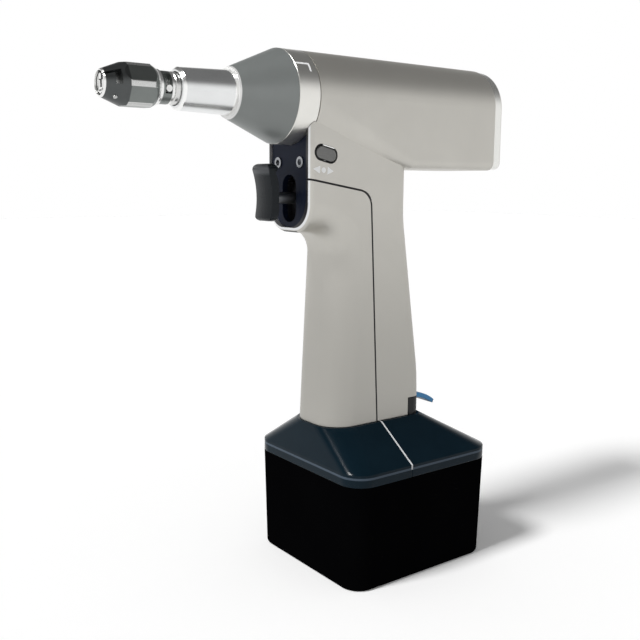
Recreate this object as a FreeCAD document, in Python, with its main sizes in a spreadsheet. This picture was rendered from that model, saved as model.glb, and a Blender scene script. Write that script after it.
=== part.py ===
# Surgical reciprocating saw: a pistol-grip battery tool that drives a saw blade to and fro.
# The frame: +Z up, the nose points along -X, and the origin is the centre of the battery's base.
import FreeCAD, Part
import math
import os
import re
import Sketcher

V = FreeCAD.Vector
doc = FreeCAD.newDocument("reciprocating_saw")
parts = []

# Driving sizes in millimetres. A name that ends in front, rear, bottom or top is a place in the frame.
SIZES = {
    # Barrel housing
    "axis_height": (218.0, "height of the blade's line of travel"),
    "housing_radius": (20.0, "half the width of the housing"),
    "housing_front": (-48.2, "front face of the housing"),
    "flare_end": (5.0, "where the flared nose meets the straight back"),
    "housing_rear": (58.6, "rear face of the housing"),
    "housing_drop": (29.7, "underside of the straight back, below the axis"),
    "housing_corner": (4.0, "lower corner radius of the straight back"),
    "housing_wall": (2.0, "wall of the housing"),
    "cap_thickness": (5.1, "rear cap plate"),
    "cap_inset": (0.5, "step from the housing's outline to the cap's"),
    "cap_screw_inset": (4.6, "cap screws from the housing's side and underside"),
    "cap_spigot": (3.0, "depth of the cap's spigot in the housing"),
    "gasket_thickness": (0.5, "rear cap gasket"),
    # Nose
    "ring_length": (11.0, "index ring"),
    "cone_length": (22.6, "nose cone"),
    "cone_mouth": (10.4, "radius of the cone's front rim"),
    "ring_metal": (2.3, "metal of the index ring over the cone's spigot"),
    "spigot_wall": (2.3, "wall of the spigot"),
    "spigot_overlap": (3.0, "spigot's reach behind the housing's front"),
    "barrel_length": (24.1, "visible barrel"),
    "barrel_front_radius": (8.4, "barrel at its front"),
    "barrel_rear_radius": (9.1, "barrel at the cone"),
    "barrel_bevel": (1.1, "polished bevel round the barrel's mouth"),
    "barrel_bore": (6.0, "bore that holds the bushes and the seal"),
    "flange_radius": (12.0, "flange at the barrel's root"),
    "flange_thickness": (4.0, "that flange"),
    "nut_thickness": (3.2, "ring nut behind the flange"),
    # Blade collar
    "neck_length": (8.8, "from the collar's shoulder to the barrel"),
    "collar_length": (22.3, "collar from its nose to its shoulder"),
    "collar_flats": (16.0, "across the collar's six flats"),
    "collar_round": (8.8, "radius that trims the collar's corners"),
    "collar_nose": (5.0, "radius at the collar's nose"),
    "collar_cone": (9.6, "length of the collar's conical nose"),
    "collar_chamfer": (3.3, "length of the collar's rear chamfer"),
    "neck_radius": (6.4, "collar's neck"),
    "collar_turn": (42.0, "degrees that the collar turns"),
    "bayonet_entry": (6.4, "depth of the collar's twist slot"),
    "bayonet_width": (2.3, "width of its leg round the collar"),
    "bayonet_low": (32.0, "lower side of its entry, degrees above -Y"),
    "bayonet_high": (42.0, "upper side of its entry, degrees above -Y"),
    "bayonet_end": (-5.0, "end of its leg round the collar, degrees above -Y"),
    "detent_setback": (4.2, "detent pin from the collar's nose"),
    "detent_radius": (0.8, "detent pin"),
    "detent_angle": (-48.0, "detent pin, degrees above -Y"),
    "detent_top": (7.3, "outer end of the detent pin, from the axis"),
    "holder_radius": (4.4, "blade holder inside the collar"),
    "holder_socket": (3.0, "radius of its spigot in the drive shaft"),
    "socket_depth": (6.0, "depth of that spigot"),
    "head_setback": (2.4, "drive shaft's head in front of the barrel"),
    "head_length": (10.2, "drive shaft's head"),
    "mouth_depth": (12.0, "depth of the barrel's mouth, where the head travels"),
    "shaft_radius": (4.0, "drive shaft"),
    "blade_slot": (1.4, "width of the slot for the blade's tang"),
    "tang_depth": (14.0, "depth of the slot for the blade's tang"),
    "tang_drop": (3.4, "bottom of that slot below the axis"),
    "index_pin_radius": (1.3, "pin in the window of the neck"),
    "index_pin_setback": (3.5, "that pin behind the collar's shoulder"),
    "index_pin_angle": (-7.0, "that pin, degrees above -Y"),
    "index_pin_root": (1.5, "inner end of that pin, from the axis"),
    # Cam drive
    "cam_setback": (21.2, "from the housing's front to the middle of the cam groove"),
    "half_stroke": (3.0, "half the blade's stroke"),
    "drum_radius": (8.6, "cam drum"),
    "drum_half": (12.8, "half the length of the cam drum"),
    "groove_width": (4.2, "cam groove"),
    "groove_depth": (3.2, "cam groove"),
    "yoke_bore": (9.2, "yoke round the drum"),
    "yoke_radius": (12.0, "outside of the yoke"),
    "yoke_disc": (3.0, "front wall of the yoke"),
    "guide_wall": (2.0, "guide sleeve round the yoke"),
    "follower_radius": (1.8, "follower pin"),
    "gear_module": (0.8, "tooth size of the gears"),
    "gear_teeth": (15, "teeth of the cam's gear"),
    "pinion_teeth": (10, "teeth of the motor's pinion"),
    "gear_width": (5.0, "face width of the gears"),
    "gear_slack": (0.1, "extra distance between the gears' centres"),
    "gear_pressure": (25.0, "pressure angle of the teeth, degrees"),
    "tooth_thinning": (0.05, "taken off each flank for backlash"),
    "pinion_extra": (1.0, "how much wider the pinion is than the gear"),
    "journal_radius": (3.0, "cam shaft in its bearings"),
    "front_bearing_radius": (7.5, "cam's front bearing"),
    "rear_bearing_radius": (5.0, "cam's rear bearing"),
    "bearing_width": (4.0, "ball bearings"),
    "motor_plate": (6.0, "thickness of the motor plate"),
    # Motor
    "motor_clearance": (1.0, "motor can to the wall of the housing"),
    "motor_length": (42.0, "motor can with its end bell"),
    "motor_wall": (1.2, "wall of the motor can"),
    "stator_bore": (8.8, "bore of the stator"),
    "rotor_radius": (8.2, "rotor magnet"),
    "motor_shaft_radius": (2.0, "motor shaft"),
    "motor_bearing_radius": (5.5, "motor bearings"),
    # Handle
    "handle_half": (17.0, "half the width of the handle"),
    "handle_wall": (2.2, "wall of the handle"),
    "tower_proud": (3.1, "how far the tower's face stands in front of the housing's"),
    "chin_drop": (58.2, "underside of the chin below the trigger, below the axis"),
    "grip_setback": (17.0, "front of the grip under the chin, behind the tower's face"),
    "foot_toe": (4.6, "how far the foot's front stands in front of the grip's"),
    "foot_length": (55.3, "length of the foot"),
    "foot_heel": (11.9, "how far the grip's back swells at the foot"),
    "foot_gap": (0.2, "gap between the battery's top and the handle's foot"),
    "swell_rise": (6.2, "where the grip's back starts to swell, above the chin"),
    "swell_foot": (21.4, "where the swell ends, above the foot"),
    "grip_round": (13.0, "rounding of the grip's front"),
    "grip_back_round": (5.0, "rounding of the grip's back"),
    "chin_hollow": (9.9, "hollow for the finger under the chin"),
    "tower_round": (2.5, "rounding round the tower's face"),
    "seam_gap": (0.3, "gap between the grip cover and the housing"),
    "seam_rise": (8.1, "seam at the tower's front, above the trigger"),
    "seam_setback": (16.6, "vertical stretch of the seam behind the grip's front"),
    "seam_fall": (5.6, "fall of the seam towards its corner"),
    "seam_slant": (5.8, "slant of the seam towards the foot"),
    "seam_round": (6.0, "rounding of the seam's corner"),
    # Trigger and its plate
    "plate_half": (13.2, "half the width of the trigger plate"),
    "plate_recess": (0.6, "depth of the plate's face in the tower"),
    "plate_thickness": (2.7, "trigger plate"),
    "plate_rise": (2.4, "lowest edge of the trigger plate, above the chin"),
    "plate_round": (12.4, "lower corners of the trigger plate"),
    "slot_half": (5.2, "half the width of the slot in the plate"),
    "slot_length": (20.7, "length of the slot"),
    "slot_rise": (2.2, "bottom of the slot, above the plate's lowest edge"),
    "slot_depth": (2.6, "slot's depth behind the plate"),
    "screw_rise": (5.3, "trigger plate screws, above the slot"),
    "screw_spread": (8.4, "plate screws from the middle"),
    "trigger_rise": (10.6, "trigger stem, above the slot's bottom"),
    "trigger_travel": (6.5, "how far the trigger is pulled"),
    "trigger_reach": (12.6, "from the tower's face to the middle of the pad's face"),
    "pad_half": (6.3, "half the width of the trigger pad"),
    "pad_rise": (14.6, "top of the trigger pad, above the stem"),
    "pad_drop": (10.0, "bottom of the trigger pad, below the stem"),
    "pad_lip": (2.0, "how far the pad's lip stands forward"),
    "pad_thickness": (3.7, "trigger pad at its middle"),
    "pad_hollow": (36.0, "radius of the pad's hollow face"),
    "pad_curl": (14.0, "radius of the pad's back above and below the stem"),
    "pad_corner": (3.0, "corners of the pad, seen from the front"),
    "stem_radius": (2.6, "trigger stem"),
    "bush_radius": (4.4, "trigger bush"),
    # Direction button
    "button_length": (10.8, "direction button"),
    "button_height": (5.6, "direction button"),
    "button_setback": (8.1, "from the tower's face to the button's middle"),
    "button_rise": (10.8, "middle of the button, above the seam"),
    "button_proud": (0.5, "how far the button stands proud"),
    "button_depth": (3.4, "thickness of the button"),
    "button_gap": (0.35, "gap round the button"),
    "button_lean": (13.0, "degrees that the button slopes down towards the rear"),
    "button_pin_radius": (0.7, "pin that the button rocks on"),
    # Battery
    "battery_length": (86.4, "battery along the tool"),
    "battery_width": (80.2, "battery across the tool"),
    "battery_corner": (11.0, "upright corners of the battery"),
    "battery_wall": (2.2, "wall of the battery"),
    "case_draft": (1.3, "how much narrower the battery case is at its foot, on each side"),
    "lid_wall": (3.6, "wall of the battery's lid"),
    "case_top": (49.0, "top of the battery case"),
    "lid_seam": (0.25, "gap between the case and the lid"),
    "skirt_height": (6.0, "upright skirt of the lid"),
    "roof_height": (15.4, "height of the lid's sloping roof"),
    "lid_margin": (1.2, "lid's top round the handle's foot"),
    "split_setback": (1.8, "seam across the lid, behind the handle's seam"),
    "cell_gap": (1.7, "space beside each cell"),
    "cell_headroom": (1.8, "space above the cells and their tray in the case"),
    "tray_thickness": (2.0, "insulating tray on the cells"),
    # Plug, latch and release tab
    "plug_length": (18.0, "plug along the tool"),
    "plug_half": (9.0, "half the width of the plug"),
    "plug_depth": (9.4, "how far the plug hangs below the foot"),
    "plug_gap": (0.4, "gap between the plug and its socket"),
    "blade_contact": (0.8, "thickness of a contact blade"),
    "notch_length": (8.8, "length of the notch in the handle's foot"),
    "notch_height": (8.6, "height of that notch"),
    "notch_gap": (0.3, "gap between the latch block and the notch"),
    "tab_half": (6.0, "half the width of the release tab"),
    "tab_reach": (19.6, "how far the release tab stands behind the foot"),
    "pivot_setback": (4.0, "tab's pin behind the notch's front"),
    "pivot_rise": (4.0, "tab's pin above the lid"),
    "tab_pin_radius": (1.0, "release tab's pin"),
    "tab_hub": (1.8, "radius of the tab's hub"),
    "latch_floor": (0.6, "floor of the latch block"),
    # Boards and fits
    "board_thickness": (1.6, "control board"),
    "run_clearance": (0.06, "shaft in a bush or bearing"),
    "fit_step": (0.05, "between pieces that are fitted together"),
    "clear_gap": (0.3, "between pieces that pass each other"),
}

# Places and sizes that follow from the driving sizes, so that neighbouring pieces keep together
DERIVED = {
    "spigot_radius": ("housing_radius - ring_metal", "cone spigot in the housing"),
    "motor_radius": ("housing_radius - housing_wall - motor_clearance", "motor can"),
    "housing_bottom": ("axis_height - housing_drop", "underside of the straight back"),
    "chin_bottom": ("axis_height - chin_drop", "underside of the chin below the trigger"),
    "tower_front": ("housing_front - tower_proud", "front face of the trigger tower"),
    "grip_front": ("tower_front + grip_setback", "front of the grip under the chin"),
    "foot_front": ("grip_front - foot_toe", "front of the grip at its foot"),
    "foot_rear": ("foot_front + foot_length", "rear of the grip at its foot"),
    "heel_rear": ("foot_rear - foot_heel", "rear of the grip under the housing"),
    "swell_top": ("chin_bottom + swell_rise", "where the grip's back starts to swell"),
    "plate_bottom": ("chin_bottom + plate_rise", "lowest edge of the trigger plate"),
    "slot_bottom": ("plate_bottom + slot_rise", "bottom of the slot"),
    "slot_top": ("slot_bottom + slot_length", "top of the slot"),
    "screw_height": ("slot_top + screw_rise", "height of the trigger plate screws"),
    "trigger_height": ("slot_bottom + trigger_rise", "height of the trigger stem"),
    "seam_front": ("trigger_height + seam_rise", "height of the seam at the tower's front"),
    "seam_corner_z": ("seam_front - seam_fall", "height of the seam at its corner"),
    "seam_corner_x": ("grip_front + seam_setback", "vertical stretch of the seam at its top"),
    "seam_foot": ("seam_corner_x + seam_slant", "the seam at the foot"),
    "pad_top": ("trigger_height + pad_rise", "top of the trigger pad"),
    "pad_bottom": ("trigger_height - pad_drop", "bottom of the trigger pad"),
    "button_middle": ("seam_front + button_rise", "height of the button's middle"),
    "skirt_top": ("case_top + skirt_height", "where the lid starts to slope"),
    "lid_top": ("skirt_top + roof_height", "flat top of the lid"),
    "foot_bottom": ("lid_top + foot_gap", "foot of the handle"),
    "swell_bottom": ("foot_bottom + swell_foot", "where the swell ends"),
    "lid_split": ("seam_foot + split_setback", "seam across the lid"),
    "case_wall": ("battery_wall + case_draft", "from the battery's widest outline to its well at the foot"),
    "cell_radius": ("(battery_width - 2 * case_wall - 4 * cell_gap) / 6", "battery cell"),
    "cell_pitch": ("2 * cell_radius + cell_gap", "from cell to cell"),
    "plug_bottom": ("foot_bottom - plug_depth", "lower end of the plug"),
    "notch_front": ("foot_rear - notch_length", "front of the notch in the handle's foot"),
    "notch_top": ("foot_bottom + notch_height", "top of that notch"),
    "tab_tip": ("foot_rear + tab_reach", "tip of the release tab"),
    "tab_pivot_x": ("notch_front + pivot_setback", "tab's pin along X"),
    "tab_pivot_z": ("lid_top + pivot_rise", "height of the tab's pin"),
    "cell_length": ("case_top - battery_wall - tray_thickness - cell_headroom", "battery cell"),
}

sheet = doc.addObject("Spreadsheet::Sheet", "Sizes")
for row, (alias, (value, note)) in enumerate({**SIZES, **DERIVED}.items(), start=1):
    sheet.set(f"A{row}", note)
    sheet.set(f"B{row}", f"={value}")
    sheet.setAlias(f"B{row}", alias)
doc.recompute()


# Formulas and plain numbers
def on_sheet(formula):
    """The formula with each size's name turned into a reference to its cell."""
    def cell(word):
        known = word.group() in SIZES or word.group() in DERIVED
        return "Sizes." + word.group() if known else word.group()
    return re.sub(r"[a-z][a-z_]*[a-z]", cell, str(formula))


def number(formula):
    return float(sheet.evalExpression(on_sheet(formula)))


def bind(item, **formulas):
    for name, formula in formulas.items():
        item.setExpression(name, on_sheet(formula))


def place(item, x=None, y=None, z=None):
    for axis, formula in (("x", x), ("y", y), ("z", z)):
        if formula is not None:
            item.setExpression("Placement.Base." + axis, on_sheet(formula))


def keep(item, label):
    """Marks a finished piece: its label names its file."""
    item.Label = label
    parts.append(item)
    return item


# Primitives and booleans
TURNS = {
    "X": FreeCAD.Rotation(V(0, 1, 0), 90),
    "Y": FreeCAD.Rotation(V(1, 0, 0), -90),
    "Z": FreeCAD.Rotation(),
}


def box(name, x, y, z):
    """A block between pairs of places along X, Y and Z."""
    block = doc.addObject("Part::Box", name)
    bind(block, Length=f"({x[1]}) - ({x[0]})", Width=f"({y[1]}) - ({y[0]})", Height=f"({z[1]}) - ({z[0]})")
    place(block, x[0], y[0], z[0])
    return block


def rod(name, axis, ends, radius, centre):
    """A cylinder between two places on an axis; centre gives its two other places in X, Y, Z order."""
    cylinder = doc.addObject("Part::Cylinder", name)
    cylinder.Placement = FreeCAD.Placement(V(), TURNS[axis])
    bind(cylinder, Radius=radius, Height=f"({ends[1]}) - ({ends[0]})")
    spots = {"X": (ends[0], *centre), "Y": (centre[0], ends[0], centre[1]), "Z": (*centre, ends[0])}
    place(cylinder, *spots[axis])
    return cylinder


def fuse(name, *solids):
    union = doc.addObject("Part::MultiFuse", name)
    union.Shapes = list(solids)
    union.Refine = True
    return union


def common(name, *solids):
    shared = doc.addObject("Part::MultiCommon", name)
    shared.Shapes = list(solids)
    return shared


def cut(name, base, *tools):
    difference = doc.addObject("Part::Cut", name)
    difference.Base = base
    difference.Tool = tools[0] if len(tools) == 1 else fuse(name + "_tools", *tools)
    return difference


def group(name, *solids):
    cluster = doc.addObject("Part::Compound", name)
    cluster.Links = list(solids)
    return cluster


# Sketches
def arc_between(start, stop, radius, right):
    """A circular arc under half a turn from start to stop, bending to the left, or to the right."""
    chord = stop - start
    height = math.sqrt(max(radius * radius - chord.Length * chord.Length / 4, 0))
    side = V(-chord.y, chord.x, 0).normalize()
    centre = (start + stop) / 2 + side * (-height if right else height)
    first, last = (stop, start) if right else (start, stop)
    turn = [math.atan2(spot.y - centre.y, spot.x - centre.x) for spot in (first, last)]
    return Part.ArcOfCircle(Part.Circle(centre, V(0, 0, 1), radius), turn[0], turn[1])


def outline(sketch, points):
    """Draws a closed outline. A point is (a, b), or (a, b, radius) where an arc leads on to the next
    point, with "right" as a fourth value where that arc bends to the right. Each corner's two places
    and each radius are dimensions that read the sheet."""
    spots = [V(number(point[0]), number(point[1]), 0) for point in points]
    ends = []
    for index, point in enumerate(points):
        start = spots[index]
        stop = spots[(index + 1) % len(points)]
        if len(point) == 2:
            sketch.addGeometry(Part.LineSegment(start, stop), False)
            ends.append((1, 2))
        else:
            right = len(point) == 4
            sketch.addGeometry(arc_between(start, stop, number(point[2]), right), False)
            ends.append((2, 1) if right else (1, 2))
    for index, point in enumerate(points):
        following = (index + 1) % len(points)
        sketch.addConstraint(Sketcher.Constraint("Coincident", index, ends[index][1], following,
            ends[following][0]))
    for index, point in enumerate(points):
        spot = spots[index]
        for kind, value, formula in (("DistanceX", spot.x, point[0]), ("DistanceY", spot.y, point[1])):
            rule = Sketcher.Constraint(kind, -1, 1, index, ends[index][0], value)
            dimension = sketch.addConstraint(rule)
            sketch.setExpression(f"Constraints[{dimension}]", on_sheet(formula))
        if len(point) > 2:
            dimension = sketch.addConstraint(Sketcher.Constraint("Radius", index, number(point[2])))
            sketch.setExpression(f"Constraints[{dimension}]", on_sheet(point[2]))


def body_sketch(name, plane, points):
    body = doc.addObject("PartDesign::Body", name)
    sketch = body.newObject("Sketcher::SketchObject", name + "_outline")
    origin_plane = [item for item in body.Origin.OriginFeatures if item.Role == plane + "_Plane"][0]
    sketch.AttachmentSupport = (origin_plane, [""])
    sketch.MapMode = "FlatFace"
    outline(sketch, points)
    return body, sketch


def turned(name, points, centre="axis_height", axis="X"):
    """A turned piece: its outline is (along, radius) points. It lies along X at a height, or stands
    along Z at an x place."""
    if axis == "X":
        body, sketch = body_sketch(name, "XZ", points)
        shift = "y"
    else:
        body, sketch = body_sketch(name, "XZ", [(point[1], point[0], *point[2:]) for point in points])
        shift = "x"
    sketch.setExpression("AttachmentOffset.Base." + shift, on_sheet(centre))
    turn = body.newObject("PartDesign::Revolution", name + "_turn")
    turn.Profile = sketch
    turn.ReferenceAxis = (sketch, ["H_Axis" if axis == "X" else "V_Axis"])
    turn.Angle = 360
    return body


def slab(name, plane, points, low, high):
    """A pad of an outline between two places along the plane's normal: YZ is along X, XZ along Y."""
    body, sketch = body_sketch(name, plane, points)
    pad = body.newObject("PartDesign::Pad", name + "_pad")
    pad.Profile = sketch
    bind(pad, Length=f"({high}) - ({low})")
    start = f"-({high})" if plane == "XZ" else low
    sketch.setExpression("AttachmentOffset.Base.z", on_sheet(start))
    return body


def round_edges(body, radius, test):
    """Rounds the edges of the body's last feature that pass the test."""
    doc.recompute()
    base = body.Tip
    names = [f"Edge{index}" for index, edge in enumerate(base.Shape.Edges, start=1) if test(edge)]
    fillet = body.newObject("PartDesign::Fillet", f"{body.Name}_round")
    fillet.Base = (base, names)
    bind(fillet, Radius=radius)
    body.Tip = fillet
    return body


def runs_along(edge, axis):
    """True for a straight edge along the axis."""
    if not isinstance(edge.Curve, (Part.Line, Part.LineSegment)):
        return False
    heading = edge.tangentAt(edge.FirstParameter)
    return abs(abs(getattr(heading, axis)) - 1) < 1e-6


def at(edge, tolerance=0.05, **spots):
    """True for an edge whose middle lies at the given places."""
    middle = edge.valueAt((edge.FirstParameter + edge.LastParameter) / 2)
    return all(abs(getattr(middle, axis) - spot) < tolerance for axis, spot in spots.items())


def rounded_rectangle(low_a, high_a, low_b, high_b, radius):
    """Points of a rectangle with rounded corners."""
    return [
        (f"({low_a}) + ({radius})", low_b),
        (f"({high_a}) - ({radius})", low_b, radius),
        (high_a, f"({low_b}) + ({radius})"),
        (high_a, f"({high_b}) - ({radius})", radius),
        (f"({high_a}) - ({radius})", high_b),
        (f"({low_a}) + ({radius})", high_b, radius),
        (low_a, f"({high_b}) - ({radius})"),
        (low_a, f"({low_b}) + ({radius})", radius),
    ]


# Places that follow from the sizes, from the housing's front to the nose
RING_FRONT = "housing_front - ring_length"
CONE_FRONT = f"{RING_FRONT} - cone_length"
BARREL_FRONT = f"{CONE_FRONT} - barrel_length"
SHOULDER = f"{BARREL_FRONT} - neck_length"
NOSE = f"{SHOULDER} - collar_length"
FLANGE_REAR = f"{RING_FRONT} - 7"
NUT_REAR = f"{FLANGE_REAR} + nut_thickness + 0.1"
HEAD_FRONT = f"{BARREL_FRONT} - head_setback"
INDEX_PIN = f"{SHOULDER} + index_pin_setback"
DETENT = f"{NOSE} + detent_setback"
# From the cam to the motor's rear
CAM = "housing_front + cam_setback"
DRUM_REAR = f"{CAM} + drum_half"
FRONT_BEARING = f"{DRUM_REAR} + 0.5"
GEAR_FRONT = f"{FRONT_BEARING} + bearing_width + 2"
REAR_BEARING = f"{GEAR_FRONT} + gear_width + 2"
PLATE_REAR = f"{REAR_BEARING} + motor_plate - 1"
MOTOR_REAR = f"{PLATE_REAR} + motor_length"
CENTRES = "gear_module * (gear_teeth + pinion_teeth) / 2 + gear_slack"
MOTOR_Z = f"axis_height - ({CENTRES})"
MOTOR_SCREWS = [("-11", MOTOR_Z), ("11", MOTOR_Z)]
CAP_FRONT = "housing_rear + gasket_thickness"
CAP_REAR = f"{CAP_FRONT} + cap_thickness"
CAP_SCREWS = [
    (f"{side} * (housing_radius - cap_screw_inset) * {across}", height)
    for side in (-1, 1)
    for across, height in (
        ("0.84", "axis_height + (housing_radius - cap_screw_inset) * 0.54"),
        ("1", "housing_bottom + cap_screw_inset"))
]
# The plate and what stands in front of it
PLATE_FRONT = "tower_front + plate_recess"
PLATE_BACK = f"{PLATE_FRONT} + plate_thickness"
SLOT_FLOOR = f"{PLATE_BACK} + slot_depth"
PAD_FRONT = "tower_front - trigger_reach"
PAD_BACK = f"{PAD_FRONT} + pad_thickness"
STEM_STOP = f"{SLOT_FLOOR} + 3 + clear_gap"
SENSOR_FRONT = f"{SLOT_FLOOR} + 17"
BUTTON_X = "tower_front + button_setback"
BUTTON_Y = "-handle_half + 1.4"
BUTTON_PIN = ("button_middle - button_height / 2 - 1.8", "button_middle + button_height / 2 + 1.8")
# The plug stands midway along the handle's foot
PLUG_FRONT = "(foot_front + notch_front) / 2 - plug_length / 2"


def barrel_outline(inset, corner, bottom):
    """The housing's section across X: a half-round top, upright sides and rounded lower corners."""
    half = f"(housing_radius - ({inset}))"
    return [
        (f"-({half} - ({corner}))", bottom),
        (f"{half} - ({corner})", bottom, corner),
        (half, f"{bottom} + ({corner})"),
        (half, "axis_height", half),
        ("0", f"axis_height + {half}", half),
        (f"-{half}", "axis_height"),
        (f"-{half}", f"{bottom} + ({corner})", corner),
    ]


def barrel_section(name, x, inset, corner, bottom):
    """A sketch of the housing's section, standing across X."""
    sketch = doc.addObject("Sketcher::SketchObject", name)
    sketch.Placement = FreeCAD.Placement(V(), FreeCAD.Rotation(V(0, 1, 0), V(0, 0, 1), V(1, 0, 0), "ZXY"))
    outline(sketch, barrel_outline(inset, corner, bottom))
    place(sketch, x=x)
    return sketch


def barrel_form(name, inset, front, rear):
    """The housing's form: round at the front, flaring to the deep section, then straight."""
    round_corner = f"housing_radius - ({inset}) - 0.2"
    deep_corner = f"housing_corner - ({inset})"
    round_bottom = f"(axis_height - housing_radius + ({inset}))"
    deep_bottom = f"(housing_bottom + ({inset}))"
    stations = [
        (front, round_corner, round_bottom),
        ("flare_end", deep_corner, deep_bottom),
        (rear, deep_corner, deep_bottom),
    ]
    loft = doc.addObject("Part::Loft", name)
    loft.Sections = [
        barrel_section(f"{name}_section_{index}", x, inset, corner, bottom)
        for index, (x, corner, bottom) in enumerate(stations)
    ]
    loft.Solid = True
    loft.Ruled = True
    return loft


def handle_form(name, inset):
    """The handle's form with its tower and chin, drawn in by an inset on every side."""
    tower = f"tower_front + ({inset})"
    chin = f"chin_bottom + ({inset})"
    top = f"axis_height - housing_radius / 2 - ({inset})"
    half = f"(handle_half - ({inset}))"
    body = slab(name, "XZ", [
        (tower, chin),
        (f"grip_front + ({inset})", chin),
        (f"foot_front + ({inset})", "foot_bottom"),
        (f"foot_rear - ({inset})", "foot_bottom"),
        (f"foot_rear - 0.8 - ({inset})", "swell_bottom"),
        (f"heel_rear - ({inset})", "swell_top"),
        (f"heel_rear - ({inset})", top),
        (tower, top),
    ], f"-{half}", half)
    hollow_x = number(f"grip_front + ({inset})")
    round_edges(body, f"chin_hollow + ({inset})",
        lambda edge: runs_along(edge, "y") and at(edge, x=hollow_x))
    swells = (number("swell_top"), number("swell_bottom"))
    round_edges(body, "60",
        lambda edge: runs_along(edge, "y") and any(at(edge, z=swell) for swell in swells))
    foot, deck = number("foot_bottom"), number(top)
    tower_x, chin_z = number(tower), number(chin)
    middle_x = number("(foot_front + foot_rear) / 2")

    def side_edge(edge, front):
        middle = edge.valueAt((edge.FirstParameter + edge.LastParameter) / 2)
        on_side = abs(abs(middle.y) - number(half)) < 0.05
        inside = foot + 0.5 < middle.z < deck - 0.5 and middle.x > tower_x + 0.5
        return on_side and inside and (middle.x < middle_x) == front

    round_edges(body, f"grip_round - ({inset})", lambda edge: side_edge(edge, True))
    round_edges(body, f"grip_back_round - ({inset})", lambda edge: side_edge(edge, False))

    def face_edge(edge):
        middle = edge.valueAt((edge.FirstParameter + edge.LastParameter) / 2)
        return abs(middle.x - tower_x) < 0.02 and chin_z - 0.1 < middle.z < deck - 0.5

    round_edges(body, f"tower_round - ({inset}) / 2", face_edge)
    return body


def seam_region(name, shift):
    """The space of the grip cover, seen from the side, drawn in by a shift."""
    body = slab(name, "XZ", [
        ("tower_front - 10", "foot_bottom - 10"),
        (f"seam_foot - ({shift})", "foot_bottom - 10"),
        (f"seam_foot - ({shift})", "foot_bottom"),
        (f"seam_corner_x - ({shift})", f"seam_corner_z - ({shift})"),
        ("tower_front - 10", f"seam_front + 1.6 - ({shift})"),
    ], "-handle_half - 5", "handle_half + 5")
    corner_x = number(f"seam_corner_x - ({shift})")
    return round_edges(body, "seam_round", lambda edge: runs_along(edge, "y") and at(edge, x=corner_x))


def plate_form(name, gap, low, high):
    """The trigger plate's outline, upright with round lower corners, as a slab across X."""
    half = f"(plate_half + {gap})"
    body = slab(name, "YZ", [
        (f"-{half}", f"plate_bottom - {gap}"), (half, f"plate_bottom - {gap}"),
        (half, "axis_height"), (f"-{half}", "axis_height"),
    ], low, high)
    lowest = number(f"plate_bottom - {gap}")
    doc.recompute()
    middle = (number(low) + number(high)) / 2
    return round_edges(body, f"plate_round + {gap}", lambda edge: runs_along(edge, "x") and at(
        edge, x=middle, z=lowest))


def slot_form(name, low, high):
    """The upright slot in the trigger plate, round at both ends."""
    return slab(name, "YZ", rounded_rectangle(
        "-slot_half", "slot_half", "slot_bottom", "slot_top", "slot_half - 0.2"), low, high)


# Housing: one shell for the barrel and the back of the handle
def handle_interior():
    """The space inside the handle: solid behind the trigger plate and round the latch's notch."""
    hollow = handle_form("hollow", "handle_wall")
    front_block = box(
        "front_block", ("tower_front - 1", f"{SLOT_FLOOR} + 2"), ("-handle_half", "handle_half"),
        ("chin_bottom - 1", "axis_height"))
    notch_wall = box(
        "notch_wall", ("notch_front - handle_wall", "foot_rear + 1"), ("-handle_half", "handle_half"),
        ("foot_bottom - 1", "notch_top + handle_wall"))
    return cut("interior", hollow, front_block, notch_wall)


def button_outline(gap):
    """The button's long rounded outline, wider by a gap all round, sloping down towards the rear."""
    half_long = f"(button_length / 2 + {gap})"
    half_high = f"(button_height / 2 + {gap})"
    level = rounded_rectangle(f"-{half_long}", half_long, f"-{half_high}", half_high, f"{half_high} - 0.05")
    across = "cos(button_lean * 1 deg)"
    fall = "sin(button_lean * 1 deg)"
    return [
        (f"{BUTTON_X} + ({along}) * {across} + ({up}) * {fall}",
            f"button_middle + ({up}) * {across} - ({along}) * {fall}", *arc)
        for along, up, *arc in level
    ]


def button_seat():
    """The window that the direction button rocks in, and the bore of its pin."""
    window = slab(
        "button_window", "XZ", button_outline("button_gap"), "-handle_half - 1",
        "-handle_half + button_depth + 0.6")
    bore = rod("button_bore", "Z", BUTTON_PIN, "button_pin_radius", (BUTTON_X, BUTTON_Y))
    return window, bore


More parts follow.
